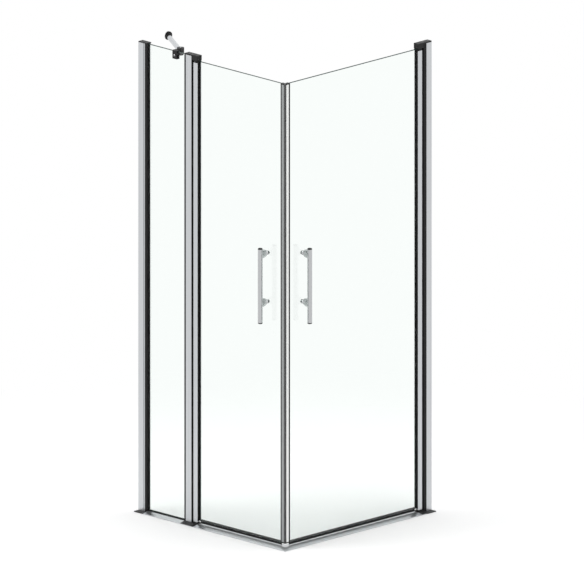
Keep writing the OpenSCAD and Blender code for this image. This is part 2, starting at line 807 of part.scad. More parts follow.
// Foot: a round base on the glass and a fin whose edges swell out in a quarter ellipse to the bar
module handle_foot(z) {
    y_base = glass_y0 - washer_t;
    reach = y_base - rosette_t - handle_y;
    swell = (foot_tall - foot_short) / 2;
    translate([handle_u, 0, z]) difference() {
        union() {
            rod_y(0, 0, rosette_r, y_base - rosette_t, y_base);
            along(-foot_fin_t / 2, foot_fin_t / 2, [
                for (a = [0:10:90]) [handle_y + reach * sin(a), foot_short / 2 + swell * cos(a)],
                [y_base - past, foot_short / 2], [y_base - past, -foot_short / 2],
                for (a = [90:-10:0]) [handle_y + reach * sin(a), -foot_short / 2 - swell * cos(a)]
            ]);
        }
        translate([0, handle_y, -foot_tall]) cylinder(r = handle_d / 2 + seat_gap, h = 2 * foot_tall);
        rod_y(0, 0, handle_screw_r + seat_gap, y_base - foot_bore, y_base + past);
    }
}

module handle_feet() {
    color(steel) for (z = foot_zs) handle_foot(z);
}

// Screws from inside, each with a domed head
module handle_screws() {
    y_head = glass_y1 + washer_t;
    color(steel) for (z = foot_zs) translate([handle_u, 0, z]) {
        rod_y(0, 0, handle_screw_r, glass_y0 - washer_t - foot_bore + foot_bore_end,
            y_head + dome_rim_h);
        translate([0, y_head, 0]) rotate([-90, 0, 0]) rotate_extrude() polygon([
            [0, 0], [dome_r, 0],
            for (a = [0:15:90]) [dome_r * cos(a), dome_rim_h + (dome_h - dome_rim_h) * sin(a)]
        ]);
    }
}

module handle_washers() {
    color(black) for (z = foot_zs) for (y = [glass_y0 - washer_t, glass_y1]) difference() {
        rod_y(handle_u, z, dome_r, y, y + washer_t);
        rod_y(handle_u, z, handle_screw_r + seat_gap, y - past, y + washer_t + past);
    }
}

// Threshold rail: hollow, mitred at the corner
module threshold_rail() {
    color(metal) difference() {
        along(rail_start, span + sill_out, sill_points);
        along(0, span + sill_out + past, key_points(0));
        past_mitre(0, -past, sill_h + past);
    }
}

// Section of the hollow in the threshold rail, drawn in by a gap
function key_points(gap) = [
    [sill_slope - sill_out + gap, sill_wall + gap], [sill_slope - sill_out + gap, sill_h - sill_wall - gap],
    [profile_depth + sill_in - sill_wall - gap, sill_h - sill_wall - gap],
    [profile_depth + sill_in - sill_wall - gap, sill_wall + gap]
];

module corner_key_leg() {
    difference() {
        along(span - key_leg, span + sill_out, key_points(key_gap));
        past_mitre(0, -past, sill_h + past);
    }
}

module threshold_corner_key() {
    color(black) union() {
        left_side() corner_key_leg();
        right_side() corner_key_leg();
    }
}

module threshold_end_cap() {
    color(black) {
        along(cap_start, rail_start, sill_points);
        along(rail_start, rail_start + cap_lug_depth, key_points(key_gap));
    }
}

// Rubber beads on the threshold, along both faces of the fixed glass
module sill_beads() {
    color(black) both_faces() along(cap_start, fixed_w - gasket_lip, [
        [glass_y0 - bead_w, sill_h], [glass_y0 - bead_w, sill_h + bead_t],
        [glass_y0, sill_h + setting_t + bead_h], [glass_y0, sill_h]
    ]);
}

module setting_blocks() {
    middle = (nose_end + fixed_w) / 2;
    quarter = (fixed_w - nose_end) / 4;
    color(black) for (x = [middle - quarter, middle + quarter]) {
        box([x - setting_l / 2, x + setting_l / 2], [glass_y0, glass_y1], [sill_h, sill_h + setting_t]);
    }
}

// Stay clamp: a saddle over the top edge of the fixed glass
module stay_clamp() {
    color(black) difference() {
        box([stay_u - clamp_w / 2, stay_u + clamp_w / 2], [clamp_y0, clamp_y1],
            [height - clamp_drop, height + clamp_top]);
        box([stay_u - clamp_w, stay_u + clamp_w], [glass_y0 - pad_t, glass_y1 + pad_t],
            [height - clamp_drop - past, height]);
        rod_y(stay_u, height - clamp_drop / 2, pinch_r + seat_gap, clamp_y0 - past,
            glass_y0 - pad_t + past);
    }
}

module stay_clamp_pads() {
    color("#5c5f61") for (y = [glass_y0 - pad_t, glass_y1]) {
        box([stay_u - clamp_w / 2, stay_u + clamp_w / 2], [y, y + pad_t], [height - clamp_drop, height]);
    }
}

// Pinch screw in the front jaw and the pivot screw on top of the knuckle
module stay_clamp_screws() {
    color(steel) {
        rod_y(stay_u, height - clamp_drop / 2, pinch_r, clamp_y0 - pinch_head_t / 2,
            glass_y0 - pad_t);
        rod_y(stay_u, height - clamp_drop / 2, pinch_head_r, clamp_y0 - pinch_head_t, clamp_y0);
        translate([stay_u, knuckle_y, stay_z + knuckle_h / 2]) cylinder(r = pinch_head_r, h = pinch_head_t);
    }
}

// Points out of the knuckle along the bar, towards the wall
module stay_frame() {
    translate([stay_u, knuckle_y, stay_z]) rotate([0, 0, 180 - stay_angle]) rotate([0, 90, 0]) children();
}

module stay_knuckle() {
    color(black) difference() {
        union() {
            translate([stay_u, knuckle_y, stay_z - knuckle_h / 2]) cylinder(r = knuckle_r, h = knuckle_h);
            box([stay_u - neck_w / 2, stay_u + neck_w / 2], [clamp_y1, knuckle_y],
                [stay_z - knuckle_h / 2 + neck_rise, height + clamp_top]);
        }
        stay_frame() translate([0, 0, knuckle_floor])
            cylinder(r = stay_d / 2 + seat_gap, h = 2 * knuckle_r);
    }
}

module stay_bar() {
    low = knuckle_floor + bar_end_gap;
    color(metal) stay_frame() difference() {
        translate([0, 0, low]) cylinder(d = stay_d, h = stay_run - socket_l / 2 - low);
        translate([0, 0, -past]) cylinder(d = stay_d - 2 * stay_wall_t, h = stay_run + 2 * past);
    }
}

// Wall flange with the socket that takes the end of the bar
module stay_flange() {
    color(black) difference() {
        union() {
            translate([0, stay_wall_y, stay_z]) rotate([0, 90, 0]) cylinder(r = flange_r, h = flange_t);
            intersection() {
                stay_frame() translate([0, 0, stay_run - socket_l])
                    cylinder(r = stay_d / 2 + socket_wall, h = 2 * socket_l);
                box([0, 2 * socket_l], [0, stay_wall_y + 2 * socket_l],
                    [stay_z - flange_r, stay_z + flange_r]);
            }
        }
        stay_frame() translate([0, 0, stay_run - socket_l - past])
            cylinder(r = stay_d / 2 + seat_gap, h = socket_l / 2 + past + bar_end_gap);
        for (z = [-flange_hole_pitch / 2, flange_hole_pitch / 2]) {
            translate([-past, stay_wall_y, stay_z + z]) rotate([0, 90, 0])
                cylinder(r = flange_hole_r, h = flange_t + 2 * past);
        }
    }
}

left_ports = [
    fixed_w + pocket_depth + profile_wall + port_r - port_sink,
    post_end - profile_wall - port_r + port_sink
];
right_ports = [
    wall_play + profile_wall + port_r - port_sink,
    hinge_nose_end - profile_wall - port_r + port_sink
];

left_side() wall_channel();  // left_wall_channel
left_side() adjusting_profile();  // left_adjusting_profile
left_side() channel_screws();  // left_channel_screws
left_side() wall_cap();  // left_wall_cap
left_side() wall_foot();  // left_wall_foot
left_side() fixed_glass();
left_side() wall_glazing_gaskets();
left_side() post_glazing_gaskets();
left_side() sill_beads();
left_side() setting_blocks();
left_side() hinge_post();
left_side() post_seal();
left_side() top_pivot_block(fixed_w, left_hinge, left_ports);  // left_top_pivot_block
left_side() left_bottom_block();  // left_bottom_pivot_block
left_side() pivot_pins(left_hinge);  // left_pivot_pins
left_side() block_screws(left_ports);  // left_block_screws
right_side() wall_channel();  // right_wall_channel
right_side() hinge_profile();  // right_hinge_profile
right_side() channel_screws();  // right_channel_screws
right_side() hinge_seal();  // right_hinge_seal
right_side() top_pivot_block(0, right_hinge, right_ports);  // right_top_pivot_block
right_side() right_bottom_block();  // right_bottom_pivot_block
right_side() pivot_pins(right_hinge);  // right_pivot_pins
right_side() block_screws(right_ports);  // right_block_screws
left_side() threshold_rail();  // left_threshold_rail
right_side() threshold_rail();  // right_threshold_rail
threshold_corner_key();
union() {  // threshold_end_caps
    left_side() threshold_end_cap();
    right_side() threshold_end_cap();
}
left_side() stay_clamp();
left_side() stay_clamp_pads();
left_side() stay_clamp_screws();
left_side() stay_knuckle();
left_side() stay_bar();
left_side() stay_flange();

left_side() door_stile(left_hinge);  // left_door_stile
left_side() door_gaskets(left_hinge);  // left_door_gaskets
left_side() door_glass(left_hinge, left_strip_w);  // left_door_glass
left_side() pivot_plugs(left_hinge);  // left_door_pivot_plugs
left_side() pivot_bushes(left_hinge);  // left_door_bushes
left_side() magnet_strip(left_strip_w, "#9c9f9f");  // left_door_magnet_strip
left_side() door_magnet();  // left_door_magnet
left_side() bottom_seal(left_hinge, left_strip_w);  // left_door_bottom_seal
left_side() handle_bar();  // left_handle_bar
left_side() handle_caps();  // left_handle_caps
left_side() handle_feet();  // left_handle_feet
left_side() handle_screws();  // left_handle_screws
left_side() handle_washers();  // left_handle_washers
right_side() door_stile(right_hinge);  // right_door_stile
right_side() door_gaskets(right_hinge);  // right_door_gaskets
right_side() door_glass(right_hinge, right_strip_w);  // right_door_glass
right_side() pivot_plugs(right_hinge);  // right_door_pivot_plugs
right_side() pivot_bushes(right_hinge);  // right_door_bushes
right_side() magnet_strip(right_strip_w, "#eef0f0");  // right_door_magnet_strip
right_side() door_magnet();  // right_door_magnet
right_side() bottom_seal(right_hinge, right_strip_w);  // right_door_bottom_seal
right_side() handle_bar();  // right_handle_bar
right_side() handle_caps();  // right_handle_caps
right_side() handle_feet();  // right_handle_feet
right_side() handle_screws();  // right_handle_screws
right_side() handle_washers();  // right_handle_washers
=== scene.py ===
# %% [markdown]
# # A corner shower enclosure with two pivot doors
#
# The real object is a kit of aluminium extrusions, toughened glass and small black mouldings.
# Three panes stand on a low threshold: one is fixed, and two are doors that turn on steel pins
# beside their walls and meet at the free corner, where two magnetic strips close the gap.
#
# The exact solids come from the CAD frame, in metres. This script dresses them: it rebuilds the
# panes, profiles, handles and stay with the soft edges that extruding, grinding and moulding
# leave, gives every surface its material, and lights the whole in a pale studio.

# %% Load the frame
import json
import math

import bmesh
import bpy
import numpy as np
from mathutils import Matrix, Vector
from mathutils.geometry import tessellate_polygon


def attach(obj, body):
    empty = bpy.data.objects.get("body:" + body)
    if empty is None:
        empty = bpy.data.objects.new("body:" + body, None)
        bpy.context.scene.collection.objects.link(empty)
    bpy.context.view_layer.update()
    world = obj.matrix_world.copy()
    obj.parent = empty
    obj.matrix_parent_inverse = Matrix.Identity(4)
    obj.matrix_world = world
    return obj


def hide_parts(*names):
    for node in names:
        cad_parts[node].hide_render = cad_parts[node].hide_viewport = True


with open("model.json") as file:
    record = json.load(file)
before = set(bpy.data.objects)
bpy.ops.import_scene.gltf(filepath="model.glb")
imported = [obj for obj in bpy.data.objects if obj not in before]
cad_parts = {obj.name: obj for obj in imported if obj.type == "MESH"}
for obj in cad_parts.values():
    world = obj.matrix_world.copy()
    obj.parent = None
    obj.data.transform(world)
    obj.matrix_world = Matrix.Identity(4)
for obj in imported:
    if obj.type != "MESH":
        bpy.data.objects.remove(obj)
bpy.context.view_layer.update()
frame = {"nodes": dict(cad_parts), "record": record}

nodes = frame["nodes"]
slots = {part["node"]: part["material_slot"] for part in frame["record"]["subparts"]}

# %% [markdown]
# ## Colours and nodes
#
# A paint chart or a hex code gives a colour as the eye sees it (sRGB), while the renderer adds
# light, so it needs linear values. One function turns the first into the second, and another
# adds a shader node with its settings and links in a single call.

# %% Colour and node helpers
def linear(code):
    """sRGB hex to linear: c / 12.92 below 0.04045, else ((c + 0.055) / 1.055) to the power 2.4."""
    c = np.array([int(code[i:i + 2], 16) for i in (1, 3, 5)]) / 255
    c = np.where(c <= 0.04045, c / 12.92, ((c + 0.055) / 1.055) ** 2.4)
    return (*map(float, c), 1.0)


def add(tree, kind, links=(), values=None, **settings):
    """Adds a node: values go to its sockets by name or number, and settings to its properties.
    Each link is (socket of this node, socket of another)."""
    node = tree.nodes.new(kind)
    for key, value in settings.items():
        setattr(node, key, value)
    for key, value in (values or {}).items():
        node.inputs[key].default_value = value
    for key, socket in links:
        tree.links.new(socket, node.inputs[key])
    return node


def material(name, colour, **values):
    """A new material with one Principled BSDF, whose sockets get the values by name."""
    mat = bpy.data.materials.new(name)
    mat.use_nodes = True
    shader = mat.node_tree.nodes["Principled BSDF"]
    shader.inputs["Base Color"].default_value = linear(colour)
    for key, value in values.items():
        shader.inputs[key.replace("_", " ")].default_value = value
    return mat, mat.node_tree, shader


print("white is", linear("#FFFFFF"))

# %% [markdown]
# ## Satin anodised aluminium
#
# The profiles are pressed through a die, etched matt and anodised. The die leaves faint lines
# along the bar and the etch makes the gloss soft. Real die lines lie about half a millimetre
# apart, too fine for a view of two metres, so they are drawn 4 mm apart and very shallow.

# %% Aluminium
LINE_M = 0.004


def extruded(name, colour, dim, rough, along, turn=0.0):
    """Metal with lines along one axis, turned about z: noise stretched 250 to 1 along it moves
    the roughness and the bump by a little, and the colour towards the dim one. A Mapping node of
    the type TEXTURE turns first and then divides by its scale."""
    mat, tree, shader = material(name, colour, Metallic=1.0)
    place = add(tree, "ShaderNodeTexCoord")
    cell = tuple(1.0 if axis == along else LINE_M for axis in "XYZ")
    stretch = add(tree, "ShaderNodeMapping", [("Vector", place.outputs["Object"])],
                  values={"Rotation": (0.0, 0.0, turn), "Scale": cell}, vector_type="TEXTURE")
    lines = add(tree, "ShaderNodeTexNoise", [("Vector", stretch.outputs[0])],
                values={"Scale": 1.0, "Detail": 3.0})
    span = add(tree, "ShaderNodeMapRange", [("Value", lines.outputs[0])],
               values={"To Min": rough - 0.04, "To Max": rough + 0.04})
    tree.links.new(span.outputs[0], shader.inputs["Roughness"])
    tint = add(tree, "ShaderNodeMix", [("Factor", lines.outputs[0])], data_type="RGBA",
               values={6: linear(colour), 7: linear(dim)})
    tree.links.new(tint.outputs[2], shader.inputs["Base Color"])
    bump = add(tree, "ShaderNodeBump", [("Height", lines.outputs[0])],
               values={"Strength": 0.15, "Distance": 0.0002})
    tree.links.new(bump.outputs[0], shader.inputs["Normal"])
    return mat


SILVER, SILVER_DIM, SATIN = "#D4D6D8", "#BDC0C3", 0.32
aluminium = extruded("satin_anodised_aluminium_upright", SILVER, SILVER_DIM, SATIN, "Z")
aluminium_x = extruded("satin_anodised_aluminium_along_x", SILVER, SILVER_DIM, SATIN, "X")
aluminium_y = extruded("satin_anodised_aluminium_along_y", SILVER, SILVER_DIM, SATIN, "Y")
print("aluminium:", aluminium.name)

# %% [markdown]
# ## Black mouldings and rubber
#
# The pivot blocks, clamp and caps are glass-filled nylon, moulded in a spark-eroded tool, so
# they are black with a fine grain and a low sheen. The gaskets are extruded EPDM rubber, which
# is duller still and slightly grey where it has bloomed.

# %% Black nylon and rubber
def grained(name, colour, rough, grain_mm, depth_mm, bloom=None, shine=0.5, **values):
    """A dielectric with a grain: noise whose cells are grain_mm wide lifts the surface by
    depth_mm, and a noise of 60 mm shifts the colour towards the bloom."""
    mat, tree, shader = material(name, colour, Roughness=rough, Specular_IOR_Level=shine, **values)
    place = add(tree, "ShaderNodeTexCoord")
    grain = add(tree, "ShaderNodeTexNoise", [("Vector", place.outputs["Object"])],
                values={"Scale": 1000.0 / grain_mm, "Detail": 2.0})
    bump = add(tree, "ShaderNodeBump", [("Height", grain.outputs[0])],
               values={"Strength": 0.5, "Distance": depth_mm / 1000})
    tree.links.new(bump.outputs[0], shader.inputs["Normal"])
    if bloom:
        patch = add(tree, "ShaderNodeTexNoise", [("Vector", place.outputs["Object"])],
                    values={"Scale": 1000.0 / 60.0, "Detail": 3.0})
        tint = add(tree, "ShaderNodeMix", [("Factor", patch.outputs[0])], data_type="RGBA",
                   values={6: linear(colour), 7: linear(bloom)})
        tree.links.new(tint.outputs[2], shader.inputs["Base Color"])
    return mat


nylon = grained("black_nylon_moulded", "#0D0D0E", 0.48, 1.5, 0.05, "#151516", 0.3)
rubber = grained("black_epdm_extruded", "#0B0B0C", 0.66, 2.5, 0.08, "#131314", 0.25)
# Painted shade: this grey is the white plastic darkened for the shaded face of the left strip.
grey_pvc = grained("pvc_extruded_painted_shade", "#8E9191", 0.4, 3.0, 0.03, "#979A9A")
white_pvc = grained("white_pvc_extruded", "#ECEDEC", 0.4, 3.0, 0.03, "#E4E6E4")
acetal = grained("acetal_turned", "#E4E0D6", 0.35, 2.0, 0.02)
ferrite = grained("ferrite_magnet_bonded", "#4A4A4C", 0.6, 1.0, 0.03)
print("mouldings:", nylon.name, rubber.name)

# %% [markdown]
# ## Glass
#
# Toughened float glass, 6 mm thick. Light that crosses it once loses almost nothing, and light
# that runs along it comes out green and dim, so the ground and polished edges read as a dark
# line. They get a finish of their own, because a path tracer needs many bounces to find it. In
# the toughening oven the hot pane rolls to and fro and keeps a shallow wave, some 300 mm long,
# that bends what it mirrors. The real wave is 0.1 mm high, and here it is 0.3 mm, to show at all.

# %% Glass and clear seals
glass = grained("clear_float_glass_toughened", "#F9FDFB", 0.0, 300.0, 0.3, IOR=1.52,
                Transmission_Weight=1.0)
edge = grained("float_glass_edge_polished", "#1C2B27", 0.16, 8.0, 0.02, "#26403A")
clear_pvc = grained("clear_pvc_extruded", "#FBFEFD", 0.06, 5.0, 0.02, IOR=1.53,
                    Transmission_Weight=1.0)
print("glass:", glass.name)

# %% [markdown]
# ## Steel
#
# The handles are tubes that are ground and then polished on a wheel, so they keep a trace of
# grinding lines under a bright gloss. Screws and pins are turned and left as they are.

# %% Steel
steel = extruded("stainless_steel_turned", "#BABBBC", "#A6A7A9", 0.25, "Z")
polished = extruded("stainless_steel_polished", "#C9CACB", "#B4B6B8", 0.16, "Z")
print("steel:", steel.name, polished.name)

# %% Give each CAD node its material
FINISH = {
    "satin_aluminium": aluminium, "black_plastic": nylon, "black_rubber": rubber,
    "clear_glass": glass, "polished_steel": polished, "stainless_steel": steel,
    "grey_pvc": grey_pvc, "white_pvc": white_pvc, "clear_pvc": clear_pvc,
    "white_acetal": acetal, "magnet": ferrite,
}
for node, slot in slots.items():
    mesh = nodes[node].data
    mesh.materials.clear()
    mesh.materials.append(FINISH[slot])
print("dressed:", len(slots))

# %% [markdown]
# ## Where things are
#
# Each side of the enclosure is described in its own frame, in millimetres: u runs from the wall
# to the corner, w from the outer face inwards and z up. The right side is the left one mirrored,
# so two functions turn both into the room's metres. The walls stand WALL from the room's middle,
# and the outer faces of the profiles FRONT from it.

# %% Frames of the two sides
WALL, FRONT = 447.0, 407.0


def left(u, w, z):
    """X = u - WALL and Y = w - FRONT, in millimetres, and then metres."""
    return np.stack(np.broadcast_arrays(u - WALL, w - FRONT, z), -1) / 1000


def right(u, w, z):
    """X = FRONT - w and Y = WALL - u, in millimetres, and then metres."""
    return np.stack(np.broadcast_arrays(FRONT - w, WALL - u, z), -1) / 1000


def body_of(node):
    """The doors carry what is named after them, and the frame carries the rest."""
    for side in ("left", "right"):
        if node.startswith((side + "_door_", side + "_handle_")):
            return side + "_door"
    return "frame"


print("outer corner of the sill:", left(880.0, -26.0, 0.0))

# %% [markdown]
# ## Levels and places that several pieces share
#
# A door's pieces are measured from the hinge side of its stile, and each profile is 26 mm deep,
# so pivots and screws sit in its middle, 13 mm in. What several pieces need is written once, so
# that those that meet stay together. Names that end in Z hold a lower and an upper end.

# %% Shared measures
SIDES = {"left": left, "right": right}
HINGE = {"left": 312.1, "right": 47.1}
PORTS = {"left": (287.8, 304.2), "right": (10.8, 39.2)}
STILE_W, MIDDLE = 32.0, 13.0
DOOR_Z, STILE_Z, POST_Z = (21.0, 1983.0), (16.0, 1975.0), (10.0, 2000.0)
POST_U, CORNER_U = 270.0, 854.0
PANE_W, WASHER_T = (10.0, 16.0), 1.5
print("stiles from u =", HINGE, "and", STILE_W, "mm wide")

# %% [markdown]
# ## From arrays to a mesh
#
# Every new piece ends as an array of points, an array of normals and a list of faces. The signed
# volume tells whether a closed shape is inside out, as the mirrored side is at first, and then
# its faces are turned round.

# %% Mesh maker
def volume(points, faces):
    """Signed volume: a sixth of the sum of a . (b x c) over the triangles that fan each face."""
    tris = np.array([(f[0], f[i], f[i + 1]) for f in faces for i in range(1, len(f) - 1)])
    a, b, c = points[tris[:, 0]], points[tris[:, 1]], points[tris[:, 2]]
    return float(np.einsum("ij,ij->i", a, np.cross(b, c)).sum() / 6)


def piece(name, points, faces, normals, materials, node, paint=None):
    """Makes the object, gives it its materials, lets it ride on its body and replace its node."""
    if volume(points, faces) < 0:
        faces = [tuple(reversed(f)) for f in faces]
    mesh = bpy.data.meshes.new(name)
    mesh.from_pydata(points.tolist(), [], faces)
    for mat in materials:
        mesh.materials.append(mat)
    if paint is not None:
        mesh.polygons.foreach_set("material_index", np.asarray(paint, np.int32))
    mesh.shade_smooth()
    mesh.normals_split_custom_set_from_vertices(normals.tolist())
    obj = bpy.data.objects.new(name, mesh)
    bpy.context.scene.collection.objects.link(obj)
    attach(obj, body_of(node))
    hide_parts(node)
    return obj


# %% [markdown]
# ## Outlines with rounded corners
#
# No extruded corner is sharp: the die has a radius of half a millimetre or more. An outline is a
# polygon whose corners become arcs, and since each arc knows its centre, the normals are exact.
# The material always lies on the left of the direction of travel, so an outer outline runs
# anticlockwise and a hole clockwise.

# %% Outlines
def rounded(points, radius, steps=4, closed=True):
    """On each corner the normal turns from that of one edge to that of the next in equal steps,
    about a centre that lies the radius to the left of both edges, or to the right where the
    outline turns right. Returns points and outward normals."""
    p = np.asarray(points, float)
    into, out = p - np.roll(p, 1, 0), np.roll(p, -1, 0) - p
    into /= np.linalg.norm(into, axis=1, keepdims=True)
    out /= np.linalg.norm(out, axis=1, keepdims=True)
    n1 = np.stack([into[:, 1], -into[:, 0]], 1)
    turn = np.arctan2(into[:, 0] * out[:, 1] - into[:, 1] * out[:, 0], (into * out).sum(1))
    reach = np.sign(turn) * np.broadcast_to(radius, len(p))
    centre = p - into * (reach * np.tan(turn / 2))[:, None] - reach[:, None] * n1
    angle = (turn[:, None] * np.linspace(0, 1, steps + 1))[..., None]
    n2 = np.stack([-n1[:, 1], n1[:, 0]], 1)
    normal = np.cos(angle) * n1[:, None] + np.sin(angle) * n2[:, None]
    arcs = centre[:, None] + reach[:, None, None] * normal
    if closed:
        return arcs.reshape(-1, 2), normal.reshape(-1, 2)
    arcs, normal = arcs[1:-1].reshape(-1, 2), normal[1:-1].reshape(-1, 2)
    return np.vstack([p[:1], arcs, p[-1:]]), np.vstack([normal[:1], normal, normal[-1:]])


def outline(points, radius, steps=4, hole=False):
    """Rounds a polygon after turning it anticlockwise, or clockwise for a hole."""
    p = np.asarray(points, float)
    area = (p[:, 0] * np.roll(p[:, 1], -1) - np.roll(p[:, 0], -1) * p[:, 1]).sum()
    return rounded(p[::-1] if (area < 0) != hole else p, radius, steps)


def arc(x, y, rx, ry, start, end, steps):
    """Part of an ellipse: (x + rx cos t, y + ry sin t), with the normal (ry cos t, rx sin t)."""
    t = np.radians(np.linspace(start, end, steps + 1))
    normal = np.stack([ry * np.cos(t), rx * np.sin(t)], 1)
    points = np.stack([x + rx * np.cos(t), y + ry * np.sin(t)], 1)
    return points, normal / np.linalg.norm(normal, axis=1, keepdims=True)


def bore(x, y, r, steps=40):
    """A round hole, which runs clockwise and whose normals point to its axis."""
    points, normal = arc(x, y, r, r, 360, 360 / steps, steps - 1)
    return points, -normal


def joined(*parts):
    """Puts outlines one after the other."""
    return np.vstack([p for p, n in parts]), np.vstack([n for p, n in parts])


square = outline([(0, 0), (20, 0), (20, 20), (0, 20)], 2)
print("a square of 20 mm with 2 mm corners has", len(square[0]), "points")

# %% [markdown]
# ## Profiles along a path
#
# An extrusion is an outline carried along its axis. Its ends are cut, so a thin rim is rounded
# there too: while the section shrinks along a quarter circle, it moves on by the rest of it. The
# threshold rails are cut to a mitre, so the end may be a function of the outline's own points.

# %% Extrusion
def carry(name, loops, lo, hi, place, rim, materials, node, tags=None):
    """Carries outlines (a, b) along c from lo to hi. At t from 0 to 90 degrees the section is
    drawn in by rim (1 - cos t), stands rim (1 - sin t) from its end, and its normal leans by t
    towards the axis. Caps of the first material close the ends, and tags give that of each side
    face. In a cap, the sign of the cross product shows which way round a triangle lies."""
    t = np.linspace(0, np.pi / 2, 5)[:, None]
    rows = 2 * len(t)
    points, normals, faces, paint, offset = [], [], [], [], 0
    for k, (p, n) in enumerate(loops):
        count = len(p)
        low = np.broadcast_to(lo(p) if callable(lo) else lo, count)
        high = np.broadcast_to(hi(p) if callable(hi) else hi, count)
        ab = p - (rim * (1 - np.cos(t)))[..., None] * n
        ab = np.concatenate([ab[::-1], ab])
        c = np.concatenate([(low + rim * (1 - np.sin(t)))[::-1], high - rim * (1 - np.sin(t))])
        lean = np.concatenate([-np.sin(t)[::-1], np.sin(t)])
        keep = np.concatenate([np.cos(t)[::-1], np.cos(t)])
        leant = np.broadcast_to(lean[..., None], (rows, count, 1))
        normal = np.concatenate([keep[..., None] * n, leant], -1)
        points.append(np.concatenate([ab, c[..., None]], -1).reshape(-1, 3))
        normals.append(normal.reshape(-1, 3))
        row, j = np.mgrid[0:rows - 1, 0:count]
        here, nxt = offset + row * count + j, offset + row * count + (j + 1) % count
        faces.append(np.stack([here, nxt, nxt + count, here + count], -1).reshape(-1, 4))
        tag = tags[k] if tags else np.zeros(count, int)
        paint.append(np.broadcast_to(tag, (rows - 1, count)).ravel())
        offset += rows * count
    points, normals = np.vstack(points), np.vstack(normals)
    faces, paint = [tuple(f) for f in np.vstack(faces).tolist()], list(np.concatenate(paint))
    sizes = [len(p) for p, n in loops]
    starts = np.cumsum([0] + [rows * s for s in sizes[:-1]])
    for row, turn in ((0, -1), (rows - 1, 1)):
        index = np.concatenate([s + row * n + np.arange(n) for s, n in zip(starts, sizes)])
        flat = [[Vector((*q, 0)) for q in points[s + row * n:s + (row + 1) * n, :2]]
                for s, n in zip(starts, sizes)]
        tris = index[np.array(tessellate_polygon(flat))]
        (ax, ay), (bx, by), (cx, cy) = points[tris, :2].transpose(1, 2, 0)
        back = ((bx - ax) * (cy - ay) - (by - ay) * (cx - ax)) * turn <= 0
        tris[back] = tris[back][:, [0, 2, 1]]
        faces += map(tuple, tris.tolist())
        paint += [0] * len(tris)
    world = place(points[:, 0], points[:, 1], points[:, 2])
    origin = place(np.array(0.0), np.array(0.0), np.array(0.0))
    turned_normals = (place(normals[:, 0], normals[:, 1], normals[:, 2]) - origin) * 1000
    return piece(name, world, faces, turned_normals, materials, node, paint)


def upright(side):
    """Outline in (u, w), carried up z."""
    return side


def lengthwise(side):
    """Outline in (w, z), carried along u."""
    return lambda a, b, c: side(c, a, b)


def crosswise(side):
    """Outline in (z, u), carried through the glass along w."""
    return lambda a, b, c: side(b, c, a)


# %% [markdown]
# ## Panes
#
# The panes are cut, their edges ground to a half round (a pencil edge) and polished, and only
# then toughened, because toughened glass can't be cut. The door panes have two holes each for
# the screws of the handle. The flat faces are glass and the half round is the dark edge.

# %% Glass panes
HANDLE_U, FOOT_Z = 740.0, (1034.5, 1242.5)
CORNER_R, EDGE_R, HOLE_R = 3.0, 2.8, 5.0


def pane(name, side, u, z, holes=()):
    """An outline in (z, u) with round corners, carried through 6 mm with a rim of EDGE_R."""
    loops = [outline([(z[0], u[0]), (z[1], u[0]), (z[1], u[1]), (z[0], u[1])], CORNER_R)]
    loops += [bore(hole_z, HANDLE_U, HOLE_R) for hole_z in holes]
    tags = [np.ones(len(p), int) for p, n in loops]
    return carry(name + "_pane", loops, *PANE_W, crosswise(side), EDGE_R, [glass, edge], name,
                 tags)


pane("fixed_glass", left, (38.0, 282.0), POST_Z)
pane("left_door_glass", left, (338.1, 830.0), DOOR_Z, FOOT_Z)
pane("right_door_glass", right, (73.1, 826.0), DOOR_Z, FOOT_Z)

# %% [markdown]
# ## Hinge post and door stiles
#
# The post holds the fixed pane in a pocket, and the screws of its block in two round ports. Each
# stile is round where it turns, so that it never touches the post, and its pocket grips the
# door pane. Each is one outline in (u, w) that is carried from the threshold to the top.

# %% Post and stiles
RIM = 0.2
PORT_R, PORT_IN, PORT_BORE = 3.8, 2.8, 2.0


def port(u, facing):
    """The part of a port's circle that stands in the hollow: it leaves the wall at the angle
    whose cosine is PORT_IN / PORT_R."""
    half = 180 - math.degrees(math.acos(PORT_IN / PORT_R))
    return arc(u, MIDDLE, PORT_R, PORT_R, facing - half, facing + half, 24)[0]


post_outer = outline([(276, 0), (309, 0), (309, 26), (POST_U, 26), (POST_U, 24), (283, 24),
                      (283, 2), (276, 2)], [0.9, 1.5, 1.5, 0.9, 0.9, 0.3, 0.3, 0.9])
near, far = PORTS["left"]
post_hollow = outline(np.vstack([[(285, 2)], port(near, 0), [(285, 24), (307, 24)],
                                 port(far, 180), [(307, 2)]]), 0.05, 1, hole=True)
carry("hinge_post_extrusion",
      [post_outer, post_hollow, bore(near, MIDDLE, PORT_BORE), bore(far, MIDDLE, PORT_BORE)],
      *POST_Z, upright(left), RIM, [aluminium], "hinge_post")


def stile(node, side, hinge):
    """A pocket with rounded lips, closed by a half circle of 13 mm about the pivot axis. The
    plugs of the pivots need a round bore of 10 mm radius."""
    axis, slot, end = hinge + MIDDLE, hinge + 25.0, hinge + STILE_W
    pocket = rounded([(axis, 0), (end, 0), (end, 2), (slot, 2), (slot, 24), (end, 24), (end, 26),
                      (axis, 26)], [1, 0.9, 0.9, 0.3, 0.3, 0.9, 0.9, 1], closed=False)
    nose = tuple(x[1:-1] for x in arc(axis, MIDDLE, MIDDLE, MIDDLE, 90, 270, 40))
    return carry(node + "_extrusion", [joined(pocket, nose), bore(axis, MIDDLE, 10.0, 64)],
                 *STILE_Z, upright(side), RIM, [aluminium], node)


for name, side in SIDES.items():
    stile(name + "_door_stile", side, HINGE[name])
print("post outline:", len(post_outer[0]), "points")

# %% [markdown]
# ## Threshold rails
#
# The two rails are one extrusion, cut at 45 degrees and pushed onto a corner key. Water runs
# back down the slope, and the flat part carries the glass and the seals of the doors. Die lines
# run along each rail, so the two need the metal in two directions.

